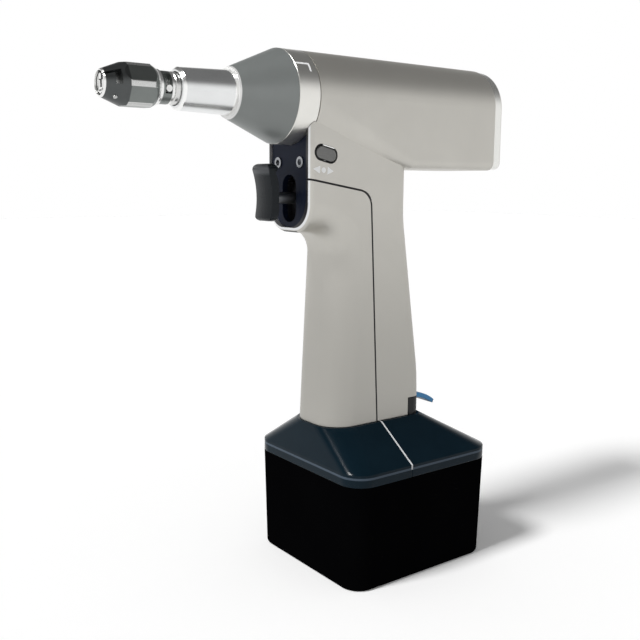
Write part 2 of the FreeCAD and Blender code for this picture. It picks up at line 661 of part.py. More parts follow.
def housing():
    chamber = barrel_form("chamber", "housing_wall", "housing_front - 0.5", "housing_rear + 1")
    interior = handle_interior()
    ring_way = rod(
        "ring_way", "X", (f"{RING_FRONT} - 1", "housing_front"), "housing_radius + clear_gap / 2",
        ("0", "axis_height"))
    plate_pocket = plate_form("plate_pocket", "0.15", "tower_front - 1", PLATE_BACK)
    slot = slot_form("slot_recess", "tower_front - 1", SLOT_FLOOR)
    bush_hole = rod("bush_hole", "X", (PLATE_BACK, f"{SLOT_FLOOR} + 3"), "bush_radius",
        ("0", "trigger_height"))
    screw_holes = [
        rod(f"screw_hole_{side}", "X", ("tower_front", f"{PLATE_BACK} + 5"), "1.3",
            (f"{side} * screw_spread", "screw_height"))
        for side in (-1, 1)
    ]
    notch = box(
        "notch", ("notch_front", "foot_rear + 1"), ("-handle_half - 1", "handle_half + 1"),
        ("foot_bottom - 1", "notch_top"))
    outer = fuse(
        "housing_outer", barrel_form("barrel_outer", "0", "housing_front", "housing_rear"),
        handle_form("handle_outer", "0"))
    seam_wide = seam_region("seam_wide", "-seam_gap / 2")
    seam_tight = seam_region("seam_tight", "seam_gap / 2")
    screw_bosses = [
        rod(f"cap_boss_{index}", "X", ("housing_rear - 9", "housing_rear"), "3", (y, z))
        for index, (y, z) in enumerate(CAP_SCREWS)
    ]
    boss_holes = [
        rod(f"boss_hole_{index}", "X", ("housing_rear - 8", "housing_rear + 1"), "1.25", (y, z))
        for index, (y, z) in enumerate(CAP_SCREWS)
    ]
    shell = cut("housing_shell", outer, chamber, interior, ring_way)
    with_bosses = fuse("housing_bosses", shell,
        common("cap_bosses", fuse("cap_boss_rods", *screw_bosses), chamber))
    keep(cut(
        "housing_cut", with_bosses, seam_wide, plate_pocket, slot, *screw_holes, notch, *button_seat(),
        *boss_holes), "main_housing")
    cover = common("cover_form", handle_form("cover_outer", "0"), seam_tight)
    keep(cut("cover_cut", cover, interior, plate_pocket, slot, bush_hole), "grip_cover")


def cap_slab(name, inset, low, high):
    """A plate of the housing's deep section, drawn in by an inset."""
    corner = f"(housing_corner - ({inset}))"
    return slab(name, "YZ", barrel_outline(inset, corner, f"(housing_bottom + ({inset}))"), low, high)


def rear_cap():
    plate = cap_slab("cap_plate", "cap_inset", CAP_FRONT, CAP_REAR)
    back = number(CAP_REAR)
    seat = f"{CAP_REAR} - 2.2"
    round_edges(plate, "0.9", lambda edge: abs(edge.CenterOfMass.x - back) < 0.01)
    spigot = cut(
        "cap_spigot_ring",
        cap_slab("spigot_outer", "housing_wall + fit_step", "housing_rear - cap_spigot", CAP_FRONT),
        cap_slab("spigot_inner", "housing_wall + fit_step + 1.6", "housing_rear - cap_spigot - 1",
            f"{CAP_FRONT} - 0.2"))
    notches = [
        rod(f"spigot_notch_{index}", "X", ("housing_rear - cap_spigot - 1", CAP_FRONT), "3.2", (y, z))
        for index, (y, z) in enumerate(CAP_SCREWS)
    ]
    holes = []
    for index, (y, z) in enumerate(CAP_SCREWS):
        holes.append(rod(f"cap_hole_{index}", "X", ("housing_rear", f"{CAP_REAR} + 1"), "1.3", (y, z)))
        holes.append(rod(
            f"cap_sink_{index}", "X", (seat, f"{CAP_REAR} + 1"),
            "2.5", (y, z)))
    keep(cut("cap_cut", fuse("cap_fused", plate, cut("spigot_cut", spigot, *notches)), *holes), "rear_cap")
    gasket = cut(
        "gasket_ring", cap_slab("gasket_outer", "cap_inset", "housing_rear", CAP_FRONT),
        cap_slab("gasket_inner", "housing_wall + fit_step - 0.02", "housing_rear - 1", f"{CAP_FRONT} + 1"),
        *[rod(f"gasket_hole_{index}", "X", ("housing_rear - 1", f"{CAP_FRONT} + 1"), "3.3", (y, z))
          for index, (y, z) in enumerate(CAP_SCREWS)])
    keep(gasket, "rear_cap_gasket")
    screws = []
    for index, (y, z) in enumerate(CAP_SCREWS):
        screws.append(cap_screw(f"cap_screw_{index}", seat, "2.4", "1.2", "1.9", "9.5", y, z))
    keep(group("cap_screws", *screws), "rear_cap_screws")


def cap_screw(name, seat, head, shank, height, reach, y, z, toward="1"):
    """A socket-head screw along X: its head stands from the seat and its shank reaches into the work."""
    ends = {"1": (seat, f"{seat} + {height}"), "-1": (f"{seat} - {height}", seat)}[toward]
    shank_ends = {"1": (f"{seat} - ({reach})", seat), "-1": (seat, f"{seat} + ({reach})")}[toward]
    stem = rod(name + "_shank", "X", shank_ends, shank, (y, z))
    top = rod(name + "_head", "X", ends, head, (y, z))
    socket_ends = {"1": (f"{seat} + {height} - 1.1", f"{seat} + {height} + 1"),
                   "-1": (f"{seat} - {height} - 1", f"{seat} - {height} + 1.1")}[toward]
    socket = hexagon(name + "_socket", f"({head}) * 1.08", socket_ends, y, z)
    return cut(name, fuse(name + "_solid", stem, top), socket)


def hexagon(name, flats, ends, y, z):
    """A six-sided bar along X with flats above and below."""
    corner = f"(({flats}) / sqrt(3))"
    half = f"(({flats}) / 2)"
    return slab(name, "YZ", [
        (f"{y} - {corner}", z), (f"{y} - {corner} / 2", f"{z} - {half}"),
        (f"{y} + {corner} / 2", f"{z} - {half}"),
        (f"{y} + {corner}", z), (f"{y} + {corner} / 2", f"{z} + {half}"),
        (f"{y} - {corner} / 2", f"{z} + {half}"),
    ], *ends)


# Nose: cone, index ring, barrel and what they hold
def nose():
    mouth = CONE_FRONT
    seal_front = f"{BARREL_FRONT} + mouth_depth"
    recess = "flange_radius + fit_step"
    throat = "barrel_rear_radius + fit_step"
    flange_front = f"{FLANGE_REAR} - flange_thickness"
    spigot_end = "housing_front + spigot_overlap"
    spigot_bore = "spigot_radius - spigot_wall"
    keep(turned("cone", [
        (mouth, throat), (f"{mouth} + 4", throat), (flange_front, throat), (flange_front, recess),
        (NUT_REAR, recess), (NUT_REAR, spigot_bore), (spigot_end, spigot_bore),
        (spigot_end, "spigot_radius"),
        (RING_FRONT, "spigot_radius"), (RING_FRONT, "housing_radius"),
        (f"{mouth} + 0.7", "cone_mouth + 0.3"),
        (mouth, "cone_mouth"),
    ]), "nose_cone")
    ring_rear = "housing_front - 0.05"
    keep(turned("ring", [
        (f"{RING_FRONT} + 0.05", "spigot_radius + fit_step"), (ring_rear, "spigot_radius + fit_step"),
        (ring_rear, "housing_radius - 0.4"), (f"{ring_rear} - 0.4", "housing_radius"),
        (f"{RING_FRONT} + 0.45", "housing_radius"), (f"{RING_FRONT} + 0.05", "housing_radius - 0.4"),
    ]), "index_ring")
    keep(turned("barrel", [
        (BARREL_FRONT, "neck_radius + clear_gap"), (seal_front, "neck_radius + clear_gap"),
        (seal_front, "barrel_bore"), (FLANGE_REAR, "barrel_bore"),
        (FLANGE_REAR, "flange_radius"), (flange_front, "flange_radius"),
        (flange_front, "barrel_rear_radius"),
        (f"{mouth} - 1", "barrel_rear_radius"), (f"{BARREL_FRONT} + barrel_bevel", "barrel_front_radius"),
        (BARREL_FRONT, "barrel_front_radius - barrel_bevel"),
    ]), "barrel_sleeve")
    nut = turned("nut", [
        (FLANGE_REAR, "barrel_bore"), (f"{NUT_REAR} - 0.1", "barrel_bore"),
        (f"{NUT_REAR} - 0.1", "flange_radius"),
        (FLANGE_REAR, "flange_radius"),
    ])
    spanner_slots = [
        box(f"spanner_slot_{index}", (f"{NUT_REAR} - 1.4", f"{NUT_REAR} + 1"), ("-1.5", "1.5"), z)
        for index, z in enumerate([
            ("axis_height + barrel_bore + 3", "axis_height + flange_radius + 1"),
            ("axis_height - flange_radius - 1", "axis_height - barrel_bore - 3"),
        ])
    ]
    keep(cut("nut_cut", nut, *spanner_slots), "barrel_nut")
    bush = "shaft_radius + run_clearance"
    for label, low, high in (
            ("front_bush", f"{seal_front} + 3", f"{seal_front} + 12"),
            ("rear_bush", f"{FLANGE_REAR} - 8", f"{FLANGE_REAR} - 0.5")):
        keep(turned(label + "_body", [
            (low, f"{bush} + 0.4"), (f"{low} + 0.4", bush), (f"{high} - 0.4", bush),
            (high, f"{bush} + 0.4"),
            (high, "barrel_bore"), (low, "barrel_bore"),
        ]), label)
    keep(turned("seal_body", [
        (seal_front, f"{bush} + 0.6"), (f"{seal_front} + 1.2", bush),
        (f"{seal_front} + 2.8", f"{bush} + 0.3"),
        (f"{seal_front} + 2.8", "barrel_bore"), (seal_front, "barrel_bore"),
    ]), "shaft_seal")


# Blade collar and drive shaft
def wedge(name, ends, low, high):
    """A slice about the axis between two angles, to cut with. 0 faces -Y and 90 faces up."""
    rim = [
        (f"-2 * collar_round * cos(({angle}) * 1 deg)",
            f"axis_height + 2 * collar_round * sin(({angle}) * 1 deg)")
        for angle in (high, low)
    ]
    return slab(name, "YZ", [("0", "axis_height"), *rim], *ends)


def radial_pin(name, x, radius, inner, outer, angle):
    """A pin that points away from the axis at an angle: 0 faces -Y and 90 faces up."""
    pin = doc.addObject("Part::Cylinder", name)
    bind(pin, Radius=radius, Height=f"({outer}) - ({inner})")
    turn = math.radians(number(angle))
    pin.Placement = FreeCAD.Placement(V(),
        FreeCAD.Rotation(V(0, 0, 1), V(0, -math.cos(turn), math.sin(turn))))
    place(pin, x, f"-({inner}) * cos(({angle}) * 1 deg)",
        f"axis_height + ({inner}) * sin(({angle}) * 1 deg)")
    return pin


def collar():
    bore = "holder_radius + run_clearance"
    shape = turned("collar_turned", [
        (NOSE, "holder_radius + clear_gap / 2"), (f"{NOSE} + 10", "holder_radius + clear_gap / 2"),
        (f"{NOSE} + 10", "holder_radius + 1.5"), (f"{SHOULDER} - 1.5", "holder_radius + 1.5"),
        (f"{SHOULDER} - 1.5", bore), (f"{HEAD_FRONT} - 0.3", bore), (f"{HEAD_FRONT} - 0.3", "neck_radius"),
        (f"{SHOULDER} + 0.9", "neck_radius"), (f"{SHOULDER} + 0.9", "neck_radius + 0.5"),
        (SHOULDER, "neck_radius + 0.5"), (f"{SHOULDER} - collar_chamfer", "collar_round"),
        (f"{NOSE} + collar_cone", "collar_round"), (f"{NOSE} + 0.5", "collar_nose + 0.25"),
        (NOSE, "collar_nose - 0.2"),
    ])
    bar = hexagon("collar_hex", "collar_flats", (f"{NOSE} - 1", f"{HEAD_FRONT} + 2"), "0", "axis_height")
    half_window = "(index_pin_radius + run_clearance)"
    half_turn = "(1 + asin(index_pin_radius / holder_radius) / 1 deg)"
    window = wedge(
        "neck_window", (f"{INDEX_PIN} - {half_window}", f"{INDEX_PIN} + {half_window}"),
        f"index_pin_angle - {half_turn}", f"index_pin_angle + {half_turn} + collar_turn")
    entry_end = f"{NOSE} + bayonet_entry"
    entry = wedge("bayonet_entry_cut", (f"{NOSE} - 1", entry_end), "bayonet_low", "bayonet_high")
    way = wedge("bayonet_way_cut", (f"{entry_end} - bayonet_width", entry_end), "bayonet_end",
        "bayonet_high")
    pin_hole = radial_pin("detent_hole", DETENT, "detent_radius", "holder_radius", "collar_round + 1",
        "detent_angle")
    keep(cut(
        "collar_cut", common("collar_common", shape, bar), window, entry, way, pin_hole), "lock_collar")
    keep(radial_pin(
        "detent", DETENT, "detent_radius", "holder_radius + clear_gap", "detent_top", "detent_angle"),
        "collar_detent_pin")


def drive_line():
    head_rear = f"{HEAD_FRONT} + head_length"
    socket_rear = f"{HEAD_FRONT} + socket_depth"
    shaft_rear = f"{CAM} - drum_half - 4.5"
    shaft = turned("shaft_turned", [
        (HEAD_FRONT, "0"), (HEAD_FRONT, "neck_radius - 0.5"), (f"{HEAD_FRONT} + 0.5", "neck_radius"),
        (head_rear, "neck_radius"), (head_rear, "shaft_radius"), (shaft_rear, "shaft_radius"),
        (shaft_rear, "0"),
    ])
    socket = rod("socket_bore", "X", (f"{HEAD_FRONT} - 1", socket_rear), "holder_socket",
        ("0", "axis_height"))
    keep(cut("shaft_cut", shaft, socket), "drive_shaft")
    holder = turned("holder_turned", [
        (f"{NOSE} + 0.8", "0"), (f"{NOSE} + 0.8", "holder_radius - 0.4"),
        (f"{NOSE} + 1.2", "holder_radius"),
        (HEAD_FRONT, "holder_radius"), (HEAD_FRONT, "holder_socket"), (socket_rear, "holder_socket"),
        (socket_rear, "0"),
    ])
    slot = box(
        "tang_slot", (NOSE, f"{NOSE} + tang_depth"), ("-blade_slot / 2", "blade_slot / 2"),
        ("axis_height - tang_drop", "axis_height + 5"))
    stud_hole = radial_pin(
        "index_pin_hole", INDEX_PIN, "index_pin_radius", "index_pin_root", "neck_radius", "index_pin_angle")
    keep(cut("holder_cut", holder, slot, stud_hole), "blade_holder")
    keep(radial_pin(
        "index_pin", INDEX_PIN, "index_pin_radius", "index_pin_root", "neck_radius + 0.15",
        "index_pin_angle"),
        "collar_index_pin")
    keep(coil(
        "collar_coil", f"{NOSE} + 10.6", f"{SHOULDER} - 2.1", "holder_radius + 0.75", "0.4", 4),
        "collar_spring")


def coil(name, low, high, radius, wire, turns, centre=("0", "axis_height"), axis="X"):
    """A coil spring along an axis: a wire swept round a helix."""
    helix = doc.addObject("Part::Helix", name + "_helix")
    span = f"(({high}) - ({low}) - 2 * ({wire}))"
    bind(helix, Radius=radius, Height=span, Pitch=f"{span} / {turns}")
    helix.Placement = FreeCAD.Placement(V(), TURNS[axis])
    start = f"({low}) + ({wire})"
    ring = doc.addObject("Part::Circle", name + "_section")
    bind(ring, Radius=wire)
    ring.Placement = FreeCAD.Placement(V(), FreeCAD.Rotation(V(0, 0, 1), V(0, 1, 0)))
    if axis == "X":
        place(helix, start, *centre)
        place(ring, start, centre[0], f"({centre[1]}) - ({radius})")
    else:
        place(helix, *centre, start)
        place(ring, f"({centre[0]}) + ({radius})", centre[1], start)
    sweep = doc.addObject("Part::Sweep", name)
    sweep.Sections = [ring]
    sweep.Spine = (helix, [])
    sweep.Solid = True
    sweep.Frenet = True
    return sweep


# Cam drive: yoke, follower, drum and gears
def cam_drive():
    yoke_front = f"{CAM} - drum_half - 4.5 - yoke_disc"
    yoke_rear = f"{CAM} + 7"
    blank = turned("yoke_turned", [
        (f"{yoke_front} - 5", "shaft_radius"), (f"{yoke_front} + yoke_disc", "shaft_radius"),
        (f"{yoke_front} + yoke_disc", "yoke_bore"), (yoke_rear, "yoke_bore"), (yoke_rear, "yoke_radius"),
        (yoke_front, "yoke_radius"), (yoke_front, "shaft_radius + 3"),
        (f"{yoke_front} - 5", "shaft_radius + 3"),
    ])
    pin_hole = radial_pin("follower_hole", CAM, "follower_radius", "yoke_bore - 1", "yoke_radius + 1",
        "-90")
    keep(cut("yoke_cut", blank, pin_hole), "cam_yoke")
    keep(radial_pin(
        "follower", CAM, "follower_radius", "drum_radius + clear_gap", "yoke_radius + guide_wall", "-90"),
        "follower_pin")
    sleeve_bore = "yoke_radius + clear_gap / 2"
    sleeve_outer = "yoke_radius + guide_wall"
    sleeve_front = f"{yoke_front} - 4"
    flange = "spigot_radius - spigot_wall - fit_step"
    sleeve = turned("sleeve_turned", [
        (sleeve_front, sleeve_bore), (f"{FRONT_BEARING} - 0.3", sleeve_bore),
        (f"{FRONT_BEARING} - 0.3", sleeve_outer),
        (f"{sleeve_front} + 4", sleeve_outer), (f"{sleeve_front} + 4", flange), (sleeve_front, flange),
    ])
    keyway = box(
        "keyway", (f"{CAM} - half_stroke - follower_radius - clear_gap",
            f"{CAM} + half_stroke + follower_radius + clear_gap"),
        ("-follower_radius - run_clearance", "follower_radius + run_clearance"),
        ("axis_height - yoke_radius - guide_wall - 1", "axis_height - drum_radius"))
    keep(cut("sleeve_cut", sleeve, keyway), "guide_sleeve")

    drum = turned("drum_turned", [
        (f"{CAM} - drum_half", "0"), (f"{CAM} - drum_half", "drum_radius - 0.4"),
        (f"{CAM} - drum_half + 0.4", "drum_radius"), (f"{DRUM_REAR} - 0.4", "drum_radius"),
        (DRUM_REAR, "drum_radius - 0.4"), (DRUM_REAR, "journal_radius + 1"),
        (FRONT_BEARING, "journal_radius + 1"),
        (FRONT_BEARING, "journal_radius"), (f"{REAR_BEARING} + bearing_width", "journal_radius"),
        (f"{REAR_BEARING} + bearing_width", "0"),
    ])
    slab_tool = rod(
        "groove_slab", "X", (f"{CAM} - groove_width / 2", f"{CAM} + groove_width / 2"), "drum_radius * 2",
        ("0", "axis_height"))
    core = rod(
        "groove_core", "X", (f"{CAM} - drum_half", DRUM_REAR), "drum_radius - groove_depth",
        ("0", "axis_height"))
    tilt = math.degrees(math.atan(number("half_stroke / (drum_radius - groove_depth / 2)")))
    lean = FreeCAD.Rotation(V(0, 0, 1), tilt)
    start = lean.multVec(V(number("groove_width / 2"), 0, 0))
    slab_tool.Placement = FreeCAD.Placement(V(), lean.multiply(TURNS["X"]))
    place(slab_tool, f"{CAM} - {start.x}", f"{-start.y}", "axis_height")
    keep(cut("drum_cut", drum, cut("groove_ring", slab_tool, core)), "cam_drum")
    keep(gear(
        "cam_gear_form", "gear_teeth", GEAR_FRONT, "gear_width", "axis_height", "journal_radius", "0"),
        "cam_gear")
    keep(gear(
        "pinion_form", "pinion_teeth", f"{GEAR_FRONT} - pinion_extra / 2", "gear_width + pinion_extra",
        MOTOR_Z,
        "motor_shaft_radius", "180 / pinion_teeth"), "motor_pinion")
    bearing("cam_front_bearing", FRONT_BEARING, "(journal_radius + run_clearance)", "front_bearing_radius",
        "axis_height")
    bearing("cam_rear_bearing", REAR_BEARING, "(journal_radius + run_clearance)", "rear_bearing_radius",
        "axis_height")


def gear(name, teeth, front, width, height, bore, phase):
    """A spur gear on an axis along X, with stub involute teeth. Phase 0 points a tooth straight down."""
    count = round(number(teeth))
    tooth = number("gear_module")
    pitch_radius = tooth * count / 2
    base_radius = pitch_radius * math.cos(math.radians(number("gear_pressure")))
    tip_radius = pitch_radius + 0.8 * tooth
    root_radius = pitch_radius - 1.05 * tooth

    def flank(radius):
        turn = math.sqrt((radius / base_radius) ** 2 - 1)
        return turn - math.atan(turn)

    half_tooth = math.pi / (2 * count) - number("tooth_thinning") / pitch_radius
    start_radius = max(base_radius, root_radius)
    steps = [start_radius + (tip_radius - start_radius) * step / 4 for step in range(5)]
    half_angles = [half_tooth + flank(pitch_radius) - flank(radius) for radius in steps]
    side = [(root_radius, half_angles[0]), *zip(steps, half_angles)]
    spots = []
    for index in range(count):
        middle = math.radians(number(phase) - 90) + 2 * math.pi * index / count
        spots += [(radius, middle - half) for radius, half in side]
        spots += [(radius, middle + half) for radius, half in reversed(side)]
    corners = [V(0, radius * math.cos(angle), radius * math.sin(angle)) for radius, angle in spots]
    rim = doc.addObject("Part::Feature", name + "_rim")
    rim.Shape = Part.makePolygon(corners + corners[:1])
    place(rim, front, "0", height)
    wheel = doc.addObject("Part::Extrusion", name + "_wheel")
    wheel.Base = rim
    wheel.DirMode = "Custom"
    wheel.Dir = V(1, 0, 0)
    wheel.Solid = True
    bind(wheel, LengthFwd=width)
    hole = rod(name + "_bore", "X", (f"{front} - 1", f"{front} + {width} + 1"), bore, ("0", height))
    return cut(name, wheel, hole)


def bearing(label, front, bore, outer, height):
    """A shielded ball bearing: one ring with a shallow recess round each face."""
    rear = f"{front} + bearing_width"
    inner_land = f"{bore} + 0.25 * ({outer} - {bore})"
    outer_land = f"{bore} + 0.75 * ({outer} - {bore})"
    keep(turned(label + "_ring", [
        (front, bore), (rear, bore), (rear, inner_land), (f"{rear} - 0.4", inner_land),
        (f"{rear} - 0.4", outer_land),
        (rear, outer_land), (rear, outer), (front, outer), (front, outer_land),
        (f"{front} + 0.4", outer_land),
        (f"{front} + 0.4", inner_land), (front, inner_land),
    ], centre=height), label)


def bearing_plates():
    plate_front = f"{FRONT_BEARING} - 0.3"
    plate_rear = f"{FRONT_BEARING} + bearing_width"
    rim = "housing_radius - housing_wall - fit_step"
    disc = turned("front_plate_turned", [
        (plate_front, "front_bearing_radius - 1"), (FRONT_BEARING, "front_bearing_radius - 1"),
        (FRONT_BEARING, "front_bearing_radius"), (plate_rear, "front_bearing_radius"), (plate_rear, rim),
        (plate_front, rim),
    ])
    keep(disc, "front_bearing_plate")
    plate_start = f"{REAR_BEARING} - 1"
    inset = "housing_wall + fit_step"
    through = (f"{plate_start} - 1", f"{PLATE_REAR} + 1")
    plate = cap_slab("motor_plate_form", inset, plate_start, PLATE_REAR)
    seat = rod(
        "rear_bearing_seat", "X", (REAR_BEARING, f"{REAR_BEARING} + bearing_width"), "rear_bearing_radius",
        ("0", "axis_height"))
    way = rod(
        "cam_shaft_way", "X", (f"{plate_start} - 1", f"{REAR_BEARING} + 1"), "journal_radius + 1",
        ("0", "axis_height"))
    shaft_way = rod("motor_shaft_way", "X", through, "motor_shaft_radius + 1.5", ("0", MOTOR_Z))
    fitted = common(
        "motor_plate_fitted", plate,
        barrel_form("plate_trim", inset, "housing_front - 0.5", "housing_rear"))
    holes = [rod(f"plate_hole_{index}", "X", through, "1.25", spot) for index,
        spot in enumerate(MOTOR_SCREWS)]
    keep(cut("motor_plate_cut", fitted, seat, way, shaft_way, *holes), "motor_plate")
    reach = f"{PLATE_REAR} - ({plate_start}) + motor_wall"
    screws = [
        cap_screw(f"motor_screw_{index}", plate_start, "2.2", "1.2", "1.6", reach, y, z, "-1")
        for index, (y, z) in enumerate(MOTOR_SCREWS)
    ]
    keep(group("motor_screws", *screws), "motor_screws")


def motor():
    can_rear = f"{MOTOR_REAR} - 3"
    bell_bearing = f"{MOTOR_REAR} - bearing_width - 1"
    can = turned("can_turned", [
        (PLATE_REAR, "motor_bearing_radius"),
        (f"{PLATE_REAR} + bearing_width + 0.5", "motor_bearing_radius"),
        (f"{PLATE_REAR} + bearing_width + 0.5", "motor_bearing_radius + 1.2"),
        (f"{PLATE_REAR} + motor_wall", "motor_bearing_radius + 1.2"),
        (f"{PLATE_REAR} + motor_wall", "motor_radius - motor_wall"),
        (can_rear, "motor_radius - motor_wall"), (can_rear, "motor_radius"), (PLATE_REAR, "motor_radius"),
    ], centre=MOTOR_Z)
    holes = [rod(f"can_hole_{index}", "X", (f"{PLATE_REAR} - 1", f"{PLATE_REAR} + motor_wall + 1"), "1.25",
        spot)
             for index, spot in enumerate(MOTOR_SCREWS)]
    keep(cut("can_cut", can, *holes), "motor_can")
    keep(turned("bell_turned", [
        (f"{MOTOR_REAR} - bearing_width - 3", "motor_bearing_radius"),
        (f"{MOTOR_REAR} - 1", "motor_bearing_radius"),
        (f"{MOTOR_REAR} - 1", "motor_shaft_radius + 0.5"), (MOTOR_REAR, "motor_shaft_radius + 0.5"),
        (MOTOR_REAR, "motor_radius - 0.6"), (can_rear, "motor_radius"),
        (can_rear, "motor_radius - motor_wall"),
        (f"{can_rear} - 2", "motor_radius - motor_wall"),
        (f"{can_rear} - 2", "motor_radius - motor_wall - 1.4"),
        (f"{MOTOR_REAR} - 1.6", "motor_radius - motor_wall - 1.4"),
        (f"{MOTOR_REAR} - 1.6", "motor_bearing_radius + 1.2"),
        (f"{MOTOR_REAR} - bearing_width - 3", "motor_bearing_radius + 1.2"),
    ], centre=MOTOR_Z), "motor_end_bell")
    shaft_bore = "(motor_shaft_radius + run_clearance)"
    bearing("motor_front_bearing", f"{PLATE_REAR} + 0.5", shaft_bore, "motor_bearing_radius", MOTOR_Z)
    bearing("motor_rear_bearing", bell_bearing, shaft_bore, "motor_bearing_radius", MOTOR_Z)
    core_front = f"{PLATE_REAR} + 11"
    core_rear = f"{MOTOR_REAR} - 11"
    core = turned("core_turned", [
        (core_front, "stator_bore"), (core_rear, "stator_bore"), (core_rear, "motor_radius - motor_wall"),
        (core_front, "motor_radius - motor_wall"),
    ], centre=MOTOR_Z)
    slots, wires = [], []
    for index in range(9):
        angle = math.radians(40 * index)
        y = f"12.4 * {math.cos(angle):.6f}"
        z = f"{MOTOR_Z} + 12.4 * {math.sin(angle):.6f}"
        slots.append(rod(f"stator_slot_{index}", "X", (f"{core_front} - 1", f"{core_rear} + 1"), "2.2",
            (y, z)))
        wires.append(rod(f"winding_{index}", "X", (f"{core_front} - 3", f"{core_rear} + 3"), "2.15",
            (y, z)))
    keep(cut("core_cut", core, *slots), "stator_core")
    turns = [turned(f"end_turn_{index}", [(low, "10.2"), (high, "10.2"), (high, "14.6"), (low, "14.6")],
        centre=MOTOR_Z)
             for index, (low, high) in enumerate([
                 (f"{core_front} - 3.4", f"{core_front} - 0.2"),
                 (f"{core_rear} + 0.2", f"{core_rear} + 3.4")])]
    keep(fuse("windings", *wires, *turns), "stator_windings")
    keep(turned("motor_shaft_turned", [
        (f"{GEAR_FRONT} - 0.5", "0"), (f"{GEAR_FRONT} - 0.5", "motor_shaft_radius"),
        (f"{MOTOR_REAR} - 0.4", "motor_shaft_radius"), (f"{MOTOR_REAR} - 0.4", "0"),
    ], centre=MOTOR_Z), "motor_shaft")
    keep(turned("rotor_turned", [
        (core_front, "motor_shaft_radius"), (core_rear, "motor_shaft_radius"),
        (core_rear, "rotor_radius - 0.3"),
        (f"{core_rear} - 0.3", "rotor_radius"), (f"{core_front} + 0.3", "rotor_radius"),
        (core_front, "rotor_radius - 0.3"),
    ], centre=MOTOR_Z), "rotor_magnet")


# Trigger, its plate and what it works on
def trigger():
    plate = plate_form("plate_slab", "0", PLATE_FRONT, PLATE_BACK)
    slot = slot_form("plate_slot", f"{PLATE_FRONT} - 1", f"{PLATE_BACK} + 1")
    under_ring = rod(
        "under_ring", "X", (f"{PLATE_FRONT} - 2", f"{PLATE_BACK} + 2"), "housing_radius + clear_gap",
        ("0", "axis_height"))
    holes = []
    for side in (-1, 1):
        spot = (f"{side} * screw_spread", "screw_height")
        holes.append(rod(f"plate_screw_way_{side}", "X", (f"{PLATE_FRONT} - 1", f"{PLATE_BACK} + 1"),
            "1.3", spot))
        holes.append(rod(f"plate_screw_sink_{side}", "X", (f"{PLATE_FRONT} - 1", f"{PLATE_FRONT} + 1"),
            "2.5", spot))
    keep(cut("plate_cut", plate, slot, under_ring, *holes), "trigger_plate")
    screws = [cap_screw(
        f"plate_screw_{side}", f"{PLATE_FRONT} + 1", "2.4", "1.2", "1.5", "5.5", f"{side} * screw_spread",
        "screw_height", "-1")
        for side in (-1, 1)]
    keep(group("plate_screws", *screws), "trigger_plate_screws")
    bore = "stem_radius + run_clearance"
    keep(turned("bush_turned", [
        (f"{SLOT_FLOOR} - 1", f"{bore} + 0.3"), (f"{SLOT_FLOOR} - 0.7", bore), (f"{SLOT_FLOOR} + 3", bore),
        (f"{SLOT_FLOOR} + 3", "bush_radius"), (f"{SLOT_FLOOR} - 1", "bush_radius"),
    ], centre="trigger_height"), "trigger_bush")
    stem_rear = f"{SLOT_FLOOR} + 7"
    keep(turned("stem_turned", [
        (f"{PAD_BACK} - 2", "0"), (f"{PAD_BACK} - 2", "stem_radius - 0.8"), (PAD_BACK, "stem_radius - 0.8"),
        (PAD_BACK, "stem_radius"), (STEM_STOP, "stem_radius"), (STEM_STOP, "bush_radius"),
        (f"{STEM_STOP} + 1.6", "bush_radius"), (f"{STEM_STOP} + 1.6", "stem_radius"),
        (stem_rear, "stem_radius"),
        (stem_rear, "0"),
    ], centre="trigger_height"), "trigger_stem")
    keep(turned("trigger_magnet_turned", [
        (stem_rear, "0"), (stem_rear, "1.9"), (f"{stem_rear} + 2.5", "1.9"), (f"{stem_rear} + 2.5", "0"),
    ], centre="trigger_height"), "trigger_magnet")
    keep(coil(
        "trigger_coil", f"{STEM_STOP} + 1.65", SENSOR_FRONT, "3.4", "0.35", 6, ("0", "trigger_height")),
        "trigger_spring")
    trigger_pad()


def trigger_pad():
    """The finger pad: a hollow face under a rounded lip, on a back that curls away from the stem."""
    face = PAD_FRONT
    lip = f"{face} - pad_lip"
    profile = slab("pad_profile", "XZ", [
        (f"{face} + 0.8", "pad_bottom"), (f"{PAD_BACK} - 1.2", "pad_bottom", "pad_curl"),
        (PAD_BACK, "trigger_height - 4"), (PAD_BACK, "trigger_height + 4", "pad_curl"),
        (f"{PAD_BACK} - 1.7", "pad_top - 4.2"), (f"{PAD_BACK} - 0.4", "pad_top - 1.6"),
        (f"{PAD_BACK} - 1.4", "pad_top"), (f"{lip} + 1.8", "pad_top", "1.8"),
        (lip, "pad_top - 1.8"), (lip, "pad_top - 2.6", "pad_hollow", "right"),
        (f"{face} - 0.8", "pad_bottom + 1.6", "1.6"),
    ], "-pad_half - 1", "pad_half + 1")
    front_view = slab(
        "pad_front_view", "YZ",
        rounded_rectangle("-pad_half", "pad_half", "pad_bottom", "pad_top", "pad_corner"),
        f"{lip} - 1", f"{PAD_BACK} + 1")
    stub = rod("pad_stub", "X", (f"{PAD_BACK} - 2", f"{PAD_BACK} + 1"), "stem_radius - 0.8",
        ("0", "trigger_height"))
    keep(cut("pad_cut", common("pad_common", profile, front_view), stub), "trigger_pad")


def direction_button():
    front_y = "-handle_half - button_proud"
    back_y = f"{front_y} + button_depth"
    button = slab("button_slab", "XZ", button_outline(0), front_y, back_y)
    face = number(front_y)
    round_edges(button, "0.6", lambda edge: abs(edge.CenterOfMass.y - face) < 0.01)
    bore = rod("button_pin_bore", "Z", BUTTON_PIN, "button_pin_radius + run_clearance",
        (BUTTON_X, BUTTON_Y))
    keep(cut("button_cut", button, bore), "direction_button")
    keep(rod("button_pin", "Z", BUTTON_PIN, "button_pin_radius", (BUTTON_X, BUTTON_Y)), "button_pin")


